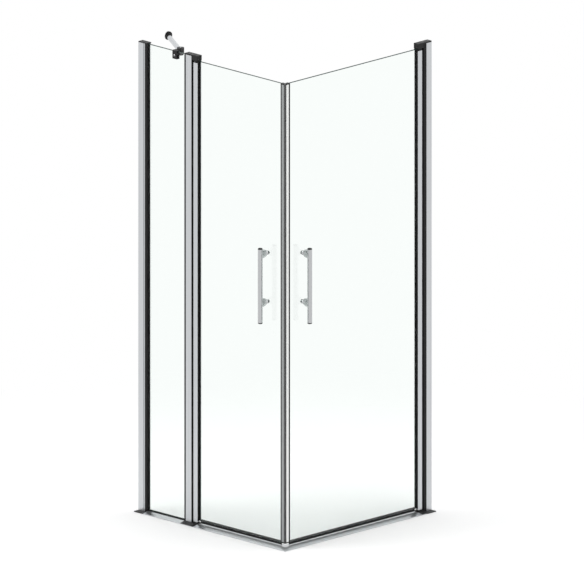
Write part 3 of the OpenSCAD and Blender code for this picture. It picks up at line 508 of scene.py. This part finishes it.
# %% Rails
RAIL_FROM = 54.0
rail_outer = outline([(-26, 0), (-26, 2), (-2, 8), (28, 8), (28, 0)], [0.3, 0.9, 4.0, 1.2, 0.3])
rail_hollow = outline([(-2, 2), (-2, 6), (26, 6), (26, 2)], 0.3, hole=True)


def mitre(points):
    """The mitre plane: u = CORNER_U - w."""
    return CORNER_U - points[:, 0]


for node, side, metal in (("left_threshold_rail", left, aluminium_x),
                          ("right_threshold_rail", right, aluminium_y)):
    carry(node + "_extrusion", [rail_outer, rail_hollow], RAIL_FROM, mitre, lengthwise(side), 0.1,
          [metal], node)
rail_ends = mitre(rail_outer[0])
print("rails end on the mitre at u =", rail_ends.min(), "to", rail_ends.max())

# %% [markdown]
# ## Magnetic strips
#
# The doors close on two plastic strips with a magnet in each. The strips are pressed through one
# die from two plastics: a stiff white one and a soft black one for the lips that press on the pane
# and on the other strip. The grey given to the stiff plastic of the left door's strip is painted
# shade on its face, and the white of the right strip is the plastic's own colour. A black plug
# closes each end, with the magnet running through it.

# %% Strips
def turned_45(x, y):
    """From the frame of the mitred face to (u, w): a turn by 45 degrees about its middle."""
    c = math.sqrt(0.5)
    return (CORNER_U - MIDDLE + c * (x - y), MIDDLE + c * (x + y))


STRIP_U, MEET_U = {"left": 822.0, "right": 818.0}, 853.65
PLUG, STRIP_RIM = 5.0, 0.25
MAGNET_SEAT = [turned_45(x, y) for x, y in
               ((-4.55, -2.6), (-1.35, -2.6), (-1.35, 4.6), (-4.55, 4.6))]


def strip(node, side, u0, lip, meet, plastic):
    """Stiff body from u0 to the mitre w = MEET_U - u, with two soft lips let into its front. One
    lip is as wide as lip, and the other runs from meet to the mitre. They stand 0.1 mm off."""
    body = outline([(u0 + lip, 6), (meet, 6), (meet, 8), (MEET_U - 8, 8), (MEET_U - 20, 20),
                    (u0, 20), (u0, 16), (u0 + 8, 16), (u0 + 8, 10), (u0 + lip, 10)],
                   [0.4, 0.4, 0.3, 0.6, 1.2, 1.2, 1.0, 0.5, 0.3, 0.3])
    seat = outline(MAGNET_SEAT, 0.3, hole=True)
    z = (DOOR_Z[0] + PLUG, DOOR_Z[1] - PLUG)
    carry(node + "_body", [body, seat], *z, upright(side), STRIP_RIM, [plastic], node)
    whole = outline([(u0, 6), (MEET_U - 6, 6), (MEET_U - 20, 20), (u0, 20), (u0, 16),
                     (u0 + 8, 16), (u0 + 8, 10), (u0, 10)],
                    [0.8, 0.7, 1.2, 1.2, 1.0, 0.5, 0.5, 0.3])
    for end, z0 in (("lower", DOOR_Z[0]), ("upper", DOOR_Z[1] - PLUG)):
        carry(f"{node}_{end}_plug", [whole, seat], z0, z0 + PLUG, upright(side), STRIP_RIM,
              [nylon], node)
    on_glass = outline([(u0, 6), (u0 + lip - 0.1, 6), (u0 + lip - 0.1, 9.9), (u0, 9.9)],
                       [0.8, 0.4, 0.3, 0.3])
    carry(node + "_glass_lip", [on_glass], *z, upright(side), STRIP_RIM, [rubber], node)
    at_mitre = outline([(meet + 0.1, 6), (MEET_U - 6, 6), (MEET_U - 7.9, 7.9),
                        (meet + 0.1, 7.9)], [0.5, 0.7, 0.3, 0.3])
    carry(node + "_meeting_lip", [at_mitre], *z, upright(side), STRIP_RIM, [rubber], node)


# The grey plastic of the left strip is painted shade on its face.
strip("left_door_magnet_strip", left, STRIP_U["left"], 6.0, 842.0, grey_pvc)
strip("right_door_magnet_strip", right, STRIP_U["right"], 7.8, 840.0, white_pvc)
print("magnet seat:", [tuple(round(c, 2) for c in corner) for corner in MAGNET_SEAT])

# %% [markdown]
# ## Bottom seals
#
# A clip of clear PVC grips the lower edge of the pane, and a soft dark blade under it keeps the
# water in. Both come out of one die, so they are outlines in (w, z) along u. The pivot block
# stands a little proud and needs room when the door swings. So the seal starts past the circle
# that the block's far corner draws about the pivot.

# %% Bottom seals
def bottom_seal(node, side, u0, u1):
    """Two clear legs on the glass, a dark web with a tapering blade, and a clear tip."""
    place = lengthwise(side)
    for leg, w in (("outer_leg", 8.5), ("inner_leg", 16.0)):
        carry(node + "_" + leg, [outline([(w, 22), (w + 1.5, 22), (w + 1.5, 29), (w, 29)], 0.5)],
              u0, u1, place, RIM, [clear_pvc], node)
    web = outline([(8.5, 22), (10, 22), (10, 21), (16, 21), (16, 22), (17.5, 22), (17.5, 19.5),
                   (15, 19.5), (14.2, 11), (11.8, 11), (11, 19.5), (8.5, 19.5)], 0.3)
    carry(node + "_web", [web], u0, u1, place, RIM, [rubber], node)
    tip = outline([(11.8, 11), (14.2, 11), (14, 8.6), (12, 8.6)], [0.3, 0.3, 0.8, 0.8])
    carry(node + "_tip", [tip], u0, u1, place, RIM, [clear_pvc], node)


BLOCK_FRONT, SEAL_CLEAR = 7.6, 1.0
SEAL_PAST_HINGE = MIDDLE + math.hypot(STILE_W - MIDDLE, MIDDLE + BLOCK_FRONT) + SEAL_CLEAR
for name, side in SIDES.items():
    bottom_seal(name + "_door_bottom_seal", side, HINGE[name] + SEAL_PAST_HINGE, STRIP_U[name])
print("seal starts", round(SEAL_PAST_HINGE, 2), "mm past the hinge side of the stile")

# %% [markdown]
# ## Turned pieces
#
# The handle tube, its caps and all screws are round, so each is a profile in (r, h) turned about
# an axis. A profile that begins and ends on the axis closes in a single point there, the pole.
# Where a screw has a hexagonal socket, the radius swells towards the six corners.

# %% Turning
COLUMNS = 64


def turned(name, profile, place, mat, node, steps=COLUMNS, poles=True, hexagon=None):
    """x = r cos a, y = r sin a, h stays. In a hexagonal row r is divided by the cosine of the
    angle to the middle of the nearest flat."""
    p, n = profile
    a = np.linspace(0, 2 * np.pi, steps, endpoint=False)
    r = np.repeat(p[:, :1], steps, 1)
    if hexagon is not None:
        flat = 1 / np.cos((a % (np.pi / 3)) - np.pi / 6)
        r = np.where(hexagon[:, None], r * flat, r)
    grid = np.stack([r * np.cos(a), r * np.sin(a), np.repeat(p[:, 1:], steps, 1)], -1)
    normal = np.stack([n[:, :1] * np.cos(a), n[:, :1] * np.sin(a),
                       np.repeat(n[:, 1:], steps, 1)], -1)
    return gridded(name, grid, normal, place, mat, node, poles)


def gridded(name, grid, normal, place, mat, node, poles=True):
    """A surface of rows and columns. Columns close on themselves. The first and last row are
    poles, or they meet, as on a tube."""
    rows, cols = grid.shape[:2]
    index = np.arange(rows * cols).reshape(rows, cols)
    if poles:
        index = index - (cols - 1) * (np.arange(rows) > 0)[:, None]
        index[0], index[-1] = 0, index[-1, 0]
        grid = np.vstack([grid[0, :1], grid[1:-1].reshape(-1, 3), grid[-1, :1]])
        normal = np.vstack([normal[0, :1], normal[1:-1].reshape(-1, 3), normal[-1, :1]])
        below, above = index[:-1], index[1:]
    else:
        grid, normal = grid.reshape(-1, 3), normal.reshape(-1, 3)
        below, above = index, np.roll(index, -1, 0)
    quads = np.stack([below, np.roll(below, -1, 1), np.roll(above, -1, 1), above], -1)
    faces = [tuple(dict.fromkeys(q)) for q in quads.reshape(-1, 4).tolist()]
    world = place(*grid.T)
    origin = place(*np.zeros(3))
    return piece(name, world, faces, (place(*normal.T) - origin) * 1000, [mat], node)


print("a turned piece has", COLUMNS, "columns")

# %% [markdown]
# ## Handles
#
# A steel tube of 20 mm stands off the door on two feet. Nylon caps with a low dome close it. Each
# foot is cast: thin and deep at the tube, where it takes the pull, and round at the glass, where
# it presses on a washer. So its section changes on the way, and the piece is a loft.

# %% Handle tube and caps
BAR_W, BAR_Z, BAR_R = -30.0, 1108.0, 10.0
CAP_H = 6.0
HALF = 162.5 - CAP_H


def at_handle(side, up=1.0, height=0.0):
    """The handle's axis, with h counted up or down from a height."""
    return lambda x, y, h: side(HANDLE_U + x, BAR_W + y, BAR_Z + height + up * h)


tube = outline([(8.5, -HALF), (BAR_R, -HALF), (BAR_R, HALF), (8.5, HALF)], [0.2, 0.5, 0.5, 0.2])
cap_rim = rounded([(0, -10), (8.4, -10), (8.4, 0), (BAR_R, 0), (BAR_R, 1.8)],
                  [0, 0.8, 0.2, 0.2, 0], closed=False)
cap = joined(cap_rim, tuple(x[1:] for x in arc(0, 1.8, BAR_R, CAP_H - 1.8, 0, 90, 16)))
for name, side in SIDES.items():
    turned(name + "_handle_tube", tube, at_handle(side), polished, name + "_handle_bar",
           poles=False)
    for end, up in (("upper", 1.0), ("lower", -1.0)):
        turned(f"{name}_handle_{end}_cap", cap, at_handle(side, up, up * HALF), nylon,
               name + "_handle_caps")
print("tube:", round(2 * HALF), "mm between its caps")

# %% Handle feet
SEAT_R, GLASS_END = 10.1, 8.5
THIN, SHALLOW, DEEPER, ROUND, SQUARISH = 5.5, 9.0, 11.0, 9.9, 3.2


def foot(name, side, z, node):
    """Half width, half height and roundness change with the distance from the tube. The half
    height falls from SHALLOW + DEEPER to SHALLOW in a quarter ellipse, while the half width stays
    THIN, and near the glass the section becomes a circle of the radius ROUND. The section is a
    superellipse: |x / a|^p + |y / b|^p = 1, where p falls from SQUARISH to 2. The end at the tube
    follows a cylinder of SEAT_R about the tube's axis."""
    theta = np.linspace(0, 2 * np.pi, 96, endpoint=False)
    w = np.concatenate([np.linspace(-19.0, 0.5, 40), np.linspace(0.9, GLASS_END, 14)])
    t = np.clip((w - BAR_W) / 34.5, 0, 1)
    part = np.clip((w - 0.5) / 5.0, 0, 1)
    ease = part ** 2 * (3 - 2 * part)
    wide = THIN + ease * (ROUND - THIN)
    tall = (SHALLOW + DEEPER * np.sqrt(1 - t ** 2)) * (1 - ease) + ROUND * ease
    power = 2 / (SQUARISH - (SQUARISH - 2) * ease)
    c, s = np.cos(theta), np.sin(theta)
    x = wide[:, None] * np.sign(c) * np.abs(c) ** power[:, None]
    y = tall[:, None] * np.sign(s) * np.abs(s) ** power[:, None]
    depth = np.repeat(w[:, None], len(theta), 1)
    seat = BAR_W + np.sqrt(SEAT_R ** 2 - x[0] ** 2)
    depth = seat + (depth - depth[0]) * (GLASS_END - seat) / (GLASS_END - depth[0])
    shrink = np.array([0.0, 0.4, 0.8, 0.95])[:, None]
    hollow = BAR_W + np.sqrt(SEAT_R ** 2 - (shrink * x[0]) ** 2)
    near = np.stack([shrink * x[0], hollow, shrink * y[0]], -1)
    back = shrink[::-1]
    far = np.stack([back * x[-1], np.full((len(back), len(theta)), GLASS_END), back * y[-1]], -1)
    grid = np.concatenate([near, np.stack([x, depth, y], -1), far])
    down, across = np.gradient(grid, axis=0), (np.roll(grid, -1, 1) - np.roll(grid, 1, 1)) / 2
    normal = np.cross(across, down)
    normal[0], normal[-1] = (0, -1, 0), (0, 1, 0)
    normal /= np.maximum(np.linalg.norm(normal, axis=2, keepdims=True), 1e-9)
    middle = len(grid) // 3
    if (normal[middle] * (grid[middle] - grid[middle].mean(0))).sum() < 0:
        normal[1:-1] *= -1
    return gridded(name, grid, normal, lambda a, b, c: side(HANDLE_U + a, b, z + c), polished,
                   node)


for name, side in SIDES.items():
    for end, z in zip(("lower", "upper"), FOOT_Z):
        foot(f"{name}_handle_{end}_foot", side, z, name + "_handle_feet")
print("feet at", FOOT_Z)

# %% [markdown]
# ## Screws
#
# All screws are stainless. The handle screws come from inside with a domed head, those of the
# profiles and blocks are cheese heads, and all take a hexagonal key, so that one key puts the
# whole enclosure together. Each is a head, a shank and a six-sided socket in one profile.

# %% Screws
def screw(name, place, node, head_r, head_h, shank_r, length, dome, key):
    """Tip, shank, head with a rounded or domed edge, and a socket 60% of the head deep. The
    socket is twice the key wide across its flats."""
    rim, mouth, floor = head_h - dome - 0.5, 1.2 * key, 0.4 * head_h
    low = rounded([(0, -length), (shank_r, -length), (shank_r, 0), (head_r, 0), (head_r, rim)],
                  [0, shank_r * 0.3, 0.1, 0.2, 0], closed=False)
    crown = tuple(x[1:] for x in arc(mouth, rim, head_r - mouth, dome + 0.5, 0, 90, 10))
    well = rounded([(key, head_h), (key, floor), (0, floor)], [0, 0.15, 0], closed=False)
    profile = joined(low, crown, well)
    hexagon = np.arange(len(profile[0])) >= len(low[0]) + len(crown[0])
    return turned(name, profile, place, steel, node, 48, hexagon=hexagon)


CHANNEL = {"head_r": 4.0, "head_h": 2.2, "shank_r": 2.0, "length": 6.0, "dome": 0.6, "key": 1.25}
BLOCK = {"head_r": 3.4, "head_h": 2.0, "shank_r": 1.9, "length": 16.0, "dome": 0.3, "key": 1.25}
GRIP = {"head_r": 8.0, "head_h": 5.0, "shank_r": 3.0, "length": 20.0, "dome": 2.8, "key": 2.0}
CLAMP = {"head_r": 4.5, "head_h": 2.5, "shank_r": 3.0, "dome": 0.5, "key": 1.5}
LOCK_U, LOCK_W, LOCK_Z = 15.0, 26.0, (200.0, 1000.0, 1800.0)
SEAT_Z = 2004.0
STAY = (208.0, 38.0, 1994.0)
for name, side in SIDES.items():
    for k, z in enumerate(LOCK_Z):
        screw(f"{name}_channel_screw_{k + 1}",
              lambda x, y, h, z=z, side=side: side(LOCK_U + x, LOCK_W + h, z - y),
              name + "_channel_screws", **CHANNEL)
    for k, u in enumerate(PORTS[name]):
        screw(f"{name}_block_screw_{k + 1}",
              lambda x, y, h, u=u, side=side: side(u + x, MIDDLE + y, SEAT_Z + h),
              name + "_block_screws", **BLOCK)
    for k, z in enumerate(FOOT_Z):
        screw(f"{name}_handle_screw_{k + 1}",
              lambda x, y, h, z=z, side=side: side(HANDLE_U + x, PANE_W[1] + WASHER_T + h, z - y),
              name + "_handle_screws", **GRIP)
screw("clamp_front_screw", lambda x, y, h: left(STAY[0] + x, 3 - h, 1983.5 + y),
      "stay_clamp_screws", length=6.0, **CLAMP)
screw("clamp_top_screw", lambda x, y, h: left(STAY[0] + x, STAY[1] + y, 2009 + h),
      "stay_clamp_screws", length=0.5, **CLAMP)

# %% [markdown]
# ## Pivots and washers
#
# Each door turns on a steel pin with a collar that carries it. Around the pin is a thin acetal
# bush, and around that a nylon plug fills the bore of the stile. All of them are turned, so they
# are profiles again, and the upper set is the lower one upside down.

# %% Pivots
def pivots(name, side, hinge):
    """Pin, plug and bush at both ends of the stile; h runs from its end into it. The pin stands
    deeper in the top block than in the bottom one, so its tail is longer there."""
    for end, z, up, tail in (("low", STILE_Z[0], 1.0, -8.0), ("high", STILE_Z[1], -1.0, -25.0)):
        def at(x, y, h, z=z, up=up):
            return side(hinge + MIDDLE + x, MIDDLE + y, z + up * h)

        pin = rounded([(0, tail), (4, tail), (4, -4.8), (8, -4.8), (8, -2.8), (4, -2.8), (4, 22),
                       (0, 22)], [0, 0.5, 0.1, 0.4, 0.4, 0.1, 1.0, 0], closed=False)
        turned(f"{name}_pin_{end}", pin, at, steel, name + "_pivot_pins")
        plug = outline([(5.55, -2.5), (12.5, -2.5), (12.5, 0), (9.9, 0), (9.9, 40), (5.55, 40)],
                       [0.2, 0.6, 0.2, 0.1, 0.8, 0.4])
        turned(f"{name}_plug_{end}", plug, at, nylon, name + "_door_pivot_plugs", poles=False)
        bush = outline([(4.05, -2.5), (5.55, -2.5), (5.55, 22), (4.05, 22)], 0.2)
        turned(f"{name}_bush_{end}", bush, at, acetal, name + "_door_bushes", poles=False)
    washer = outline([(3.1, 0), (8, 0), (8, WASHER_T), (3.1, WASHER_T)], 0.4)
    for k, (z, w) in enumerate([(z, w) for z in FOOT_Z for w in (PANE_W[0] - WASHER_T, PANE_W[1])]):
        turned(f"{name}_handle_washer_{k + 1}", washer,
               lambda x, y, h, z=z, w=w: side(HANDLE_U + x, w + h, z + y), rubber,
               name + "_handle_washers", poles=False)


for name, side in SIDES.items():
    pivots(name, side, HINGE[name])
    print(name, "pivot axis at", side(HINGE[name] + MIDDLE, MIDDLE, 0.0).round(4))

# %% [markdown]
# ## Gaskets
#
# The panes are held by rubber wedges: a soft lip lies on the glass and the rest fills the pocket.
# The outer one at the wall also wraps the nose of its profile, which is why that side of the
# enclosure begins with a black line. The wrap is real rubber, but it runs 12 mm over the nose to
# stand in for the shadow step there, so that band is partly painted shade. All are outlines in
# (u, w) again, with soft corners.

# %% Gaskets
SOFT_RIM = 0.1
NOSE_U, NOSE_COVER_AND_SHADE = 50.0, 12.0
WALL_Z = (3.0, 2000.0)


def wedge(mouth, facing, depth, y0, behind=False):
    """A wedge in a pocket that opens at u = mouth towards facing, 1 or -1, with its 2 mm lip."""
    points = [(1 - depth, y0), (0, y0), (0, 7), (2, 8), (2, 10), (1 - depth, 10)]
    return outline([(mouth + facing * u, 26 - w if behind else w) for u, w in points],
                   [0.2, 0.3, 0.6, 0.9, 0.3, 0.2])


def wrap(mouth, facing, cover, depth, y0, back):
    """The same with a cover that comes round the nose of the profile, flush with its front."""
    points = [(-cover, 0), (2, 0), (2, 10), (1 - depth, 10), (1 - depth, y0), (0, y0), (0, back),
              (-cover, back)]
    keep = list(range(8)) if back < y0 else [0, 1, 2, 3, 4, 7]
    radius = np.array([0.5, 1.2, 0.4, 0.2, 0.2, 0.1, 0.1, 0.4])[keep]
    return outline([(mouth + facing * points[k][0], points[k][1]) for k in keep], radius)


# Painted shade in part: the cover of the outer wall gasket is real rubber, made this wide over the
# nose so that its black stands in for the shadow step there.
wall_bands = [wrap(NOSE_U, 1, NOSE_COVER_AND_SHADE, depth=13, y0=4.3, back=2.3),
              wedge(NOSE_U, 1, depth=13, y0=4.3, behind=True)]
post_bands = [wrap(POST_U, -1, 6, depth=13, y0=2, back=2),
              wedge(POST_U, -1, depth=13, y0=2, behind=True)]
for node, bands, z in (("wall_glazing_gaskets", wall_bands, WALL_Z),
                       ("post_glazing_gaskets", post_bands, POST_Z)):
    for where, band in zip(("outer", "inner"), bands):
        carry(f"{node}_{where}", [band], *z, upright(left), SOFT_RIM, [rubber], node)
for name, side in SIDES.items():
    for where, behind in (("outer", False), ("inner", True)):
        band = wedge(HINGE[name] + STILE_W, 1, depth=7, y0=2, behind=behind)
        carry(f"{name}_door_gasket_{where}", [band], *DOOR_Z, upright(side), SOFT_RIM, [rubber],
              name + "_door_gaskets")
post_seal = outline([(309, 0), (311.5, 0), (311.5, 26), (309, 26)], [0.3, 1.1, 1.1, 0.3])
carry("post_seal_strip", [post_seal], *POST_Z, upright(left), RIM, [rubber], "post_seal")
# Painted shade in part: a real rubber cover on the hinge profile, made about 16 mm wide so that its
# black stands in for the shadow in the gap beside the stile.
hinge_seal = outline([(30.3, 0), (46.5, 0), (46.5, 26), (30.3, 26), (30.3, 23.7), (44, 23.7),
                      (44, 2.3), (30.3, 2.3)], [0.5, 1.2, 1.2, 0.5, 0.3, 0.3, 0.3, 0.3])
carry("hinge_seal_and_painted_shade", [hinge_seal], *WALL_Z, upright(right), RIM, [rubber],
      "right_hinge_seal")
bead = [(4, 8), (4, 9.5), (10, 12), (10, 8)]
for where, behind in (("outer", False), ("inner", True)):
    shape = outline([(26 - w if behind else w, z) for w, z in bead], [0.3, 0.7, 0.4, 0.2])
    carry("sill_bead_" + where, [shape], 52.0, 268.0, lengthwise(left), SOFT_RIM, [rubber],
          "sill_beads")
print("the wall gasket covers", NOSE_COVER_AND_SHADE, "mm of the nose")

# %% [markdown]
# ## Stay
#
# A tube runs from the top of the fixed pane back to the wall and keeps the pane from swaying. It
# leaves the clamp at an angle, so it is turned in a frame of its own: h runs along its axis from
# the pivot of the knuckle towards the wall.

# %% Stay tube
WALL_END_W, SHORT_OF_WALL = 172.0, 17.0
STAY_ACROSS = WALL_END_W - STAY[1]
STAY_ANGLE = math.atan2(STAY_ACROSS, STAY[0])
STAY_RUN = math.hypot(STAY_ACROSS, STAY[0])


def at_stay(x, y, h):
    """h along the tube, x level and square to it, y up."""
    c, s = math.cos(STAY_ANGLE), math.sin(STAY_ANGLE)
    return left(STAY[0] - h * c - x * s, STAY[1] + h * s - x * c, STAY[2] + y)


stay_metal = extruded("satin_anodised_aluminium_along_stay", SILVER, SILVER_DIM, SATIN, "X",
                      -STAY_ANGLE)
stay_end = STAY_RUN - SHORT_OF_WALL
stay_wall = outline([(8.5, 2.5), (10, 2.5), (10, stay_end), (8.5, stay_end)], 0.3)
turned("stay_bar_tube", stay_wall, at_stay, stay_metal, "stay_bar", poles=False)
print("stay:", round(STAY_RUN, 1), "mm at", round(math.degrees(STAY_ANGLE), 1), "degrees")

# %% [markdown]
# ## Mouldings and channels
#
# The blocks, caps, clamp and wall channels have the right shape in the CAD, but its edges are
# knife sharp, and a sharp edge never catches the light. A copy of the mesh is merged, flat
# triangles are joined into larger faces, and a Bevel modifier rounds what is left by the radius
# of a mould or a die. Weighted Normal then keeps the flat faces flat.

# %% Soft edges
LONG_EDGE_M, SHARP = 0.0012, math.radians(38)


def softened(node, width):
    """A bevelled copy of a CAD node: width in millimetres, and only on edges longer than 1.2 mm
    where faces meet at more than 38 degrees, so screw holes stay as they are."""
    source = nodes[node].data
    work = bmesh.new()
    work.from_mesh(source)
    bmesh.ops.remove_doubles(work, verts=work.verts, dist=1e-6)
    bmesh.ops.dissolve_limit(work, angle_limit=math.radians(1), verts=work.verts, edges=work.edges)
    weight = work.edges.layers.float.new("bevel_weight_edge")
    for e in work.edges:
        e[weight] = float(e.calc_face_angle(0.0) > SHARP and e.calc_length() > LONG_EDGE_M)
    mesh = bpy.data.meshes.new(node + "_soft")
    work.to_mesh(mesh)
    work.free()
    mesh.materials.clear()
    mesh.materials.append(FINISH[slots[node]])
    mesh.shade_smooth()
    obj = bpy.data.objects.new(node + "_soft", mesh)
    bpy.context.scene.collection.objects.link(obj)
    bevel = obj.modifiers.new("edge_radius", "BEVEL")
    bevel.width, bevel.segments = width / 1000, 3
    bevel.limit_method, bevel.use_clamp_overlap = "WEIGHT", False
    flat = obj.modifiers.new("flat_faces", "WEIGHTED_NORMAL")
    flat.keep_sharp = False
    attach(obj, body_of(node))
    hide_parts(node)
    return obj


SOFT = {
    "left_wall_channel": 0.5, "right_wall_channel": 0.5, "left_adjusting_profile": 0.4,
    "right_hinge_profile": 0.4, "left_wall_cap": 0.8, "left_wall_foot": 0.6,
    "left_bottom_pivot_block": 0.5, "right_bottom_pivot_block": 0.5,
    "left_top_pivot_block": 1.0, "right_top_pivot_block": 1.0, "stay_clamp": 1.0,
    "stay_knuckle": 1.2, "stay_flange": 1.2, "threshold_end_caps": 0.3, "setting_blocks": 0.3,
}
for node, width in SOFT.items():
    soft = softened(node, width)
    print(node, len(soft.data.polygons), "faces before the bevel")

# %% [markdown]
# ## Studio
#
# A shower is shown best on a plain pale floor. Close to the object the floor is matt paper that
# keeps its shadow. Further out it turns into pure white for the camera, and for what metal and
# glass mirror, so that no horizon shows. The lamps don't need to be brighter for that.

# %% Floor
def rays(tree):
    """One where a ray comes from the camera, a reflection or a pane."""
    path = add(tree, "ShaderNodeLightPath")
    seen = add(tree, "ShaderNodeMath", [(0, path.outputs["Is Camera Ray"]),
                                        (1, path.outputs["Is Glossy Ray"])], operation="MAXIMUM")
    return add(tree, "ShaderNodeMath", [(0, seen.outputs[0]),
                                        (1, path.outputs["Is Transmission Ray"])],
               operation="MAXIMUM")


FLOOR_Z = -0.001
floor_corners = [(x, y, FLOOR_Z) for x, y in ((-8, -8), (8, -8), (8, 8), (-8, 8))]
floor_mesh = bpy.data.meshes.new("studio_floor")
floor_mesh.from_pydata(floor_corners, [], [(0, 1, 2, 3)])
floor = bpy.data.objects.new("studio_floor", floor_mesh)
bpy.context.scene.collection.objects.link(floor)
paper, paper_tree, paper_shader = material("white_paper_matt", "#FFFFFF", Roughness=0.95)
paper_shader.inputs["Specular IOR Level"].default_value = 0.1
place = add(paper_tree, "ShaderNodeTexCoord")
far = add(paper_tree, "ShaderNodeVectorMath", [(0, place.outputs["Object"])], operation="LENGTH")
PAPER_M, WHITE_M = 0.9, 2.2
fade = add(paper_tree, "ShaderNodeMapRange", [("Value", far.outputs["Value"])],
           values={"From Min": PAPER_M, "From Max": WHITE_M}, interpolation_type="SMOOTHSTEP")
fade = add(paper_tree, "ShaderNodeMath", [(0, fade.outputs[0]), (1, rays(paper_tree).outputs[0])],
           operation="MULTIPLY")
white = add(paper_tree, "ShaderNodeEmission", values={"Color": linear("#FFFFFF"), "Strength": 1.0})
both = add(paper_tree, "ShaderNodeMixShader",
           [(0, fade.outputs[0]), (1, paper_shader.outputs[0]), (2, white.outputs[0])])
paper_tree.links.new(both.outputs[0], paper_tree.nodes["Material Output"].inputs["Surface"])
floor_mesh.materials.append(paper)
print("floor is white from", WHITE_M, "m out")

# %% World and lamps
world = bpy.data.worlds.new("studio_world")
bpy.context.scene.world = world
world.use_nodes = True
sky = world.node_tree
level = add(sky, "ShaderNodeMapRange", [("Value", rays(sky).outputs[0])],
            values={"To Min": 0.6, "To Max": 1.0})
sky.nodes["Background"].inputs["Color"].default_value = linear("#FFFFFF")
sky.links.new(level.outputs[0], sky.nodes["Background"].inputs["Strength"])


def lamp(name, place, aim, size, watts):
    """A square area lamp at place that points at aim."""
    data = bpy.data.lights.new(name, "AREA")
    data.size = size
    data.energy = watts
    obj = bpy.data.objects.new(name, data)
    bpy.context.scene.collection.objects.link(obj)
    obj.location = place
    obj.rotation_euler = (Vector(aim) - Vector(place)).to_track_quat("-Z", "Y").to_euler()
    return obj


lamp("key_lamp", (-2.5, -4.0, 4.5), (0, 0, 0.9), 3.0, 100)
lamp("fill_lamp", (4.5, -1.0, 3.0), (0, 0, 0.9), 3.0, 42)
lamp("top_lamp", (0.5, 0.5, 6.0), (0, 0, 0), 4.0, 145)

# %% [markdown]
# ## Camera
#
# The drawing has no perspective: lines that are parallel in the room stay parallel, so the camera
# is orthographic. It looks at the free corner, 45 degrees round and 15.4 degrees down.

# %% Camera
AZIMUTH, ELEVATION = math.radians(45.0), math.radians(15.40)
TARGET, AWAY, VIEW_M = Vector((0.0204, 0.0204, 0.940)), 6.0, 2.4036
toward = Vector((math.sin(AZIMUTH) * math.cos(ELEVATION),
                 -math.cos(AZIMUTH) * math.cos(ELEVATION), math.sin(ELEVATION)))
camera_data = bpy.data.cameras.new("camera")
camera_data.type = "ORTHO"
camera_data.ortho_scale = VIEW_M
camera = bpy.data.objects.new("camera", camera_data)
camera.location = TARGET + AWAY * toward
camera.rotation_euler = (-toward).to_track_quat("-Z", "Y").to_euler()
bpy.context.scene.collection.objects.link(camera)
bpy.context.scene.camera = camera
bpy.context.scene.view_settings.view_transform = "Standard"
print("camera at", [round(c, 3) for c in camera.location], "shows", VIEW_M, "m")
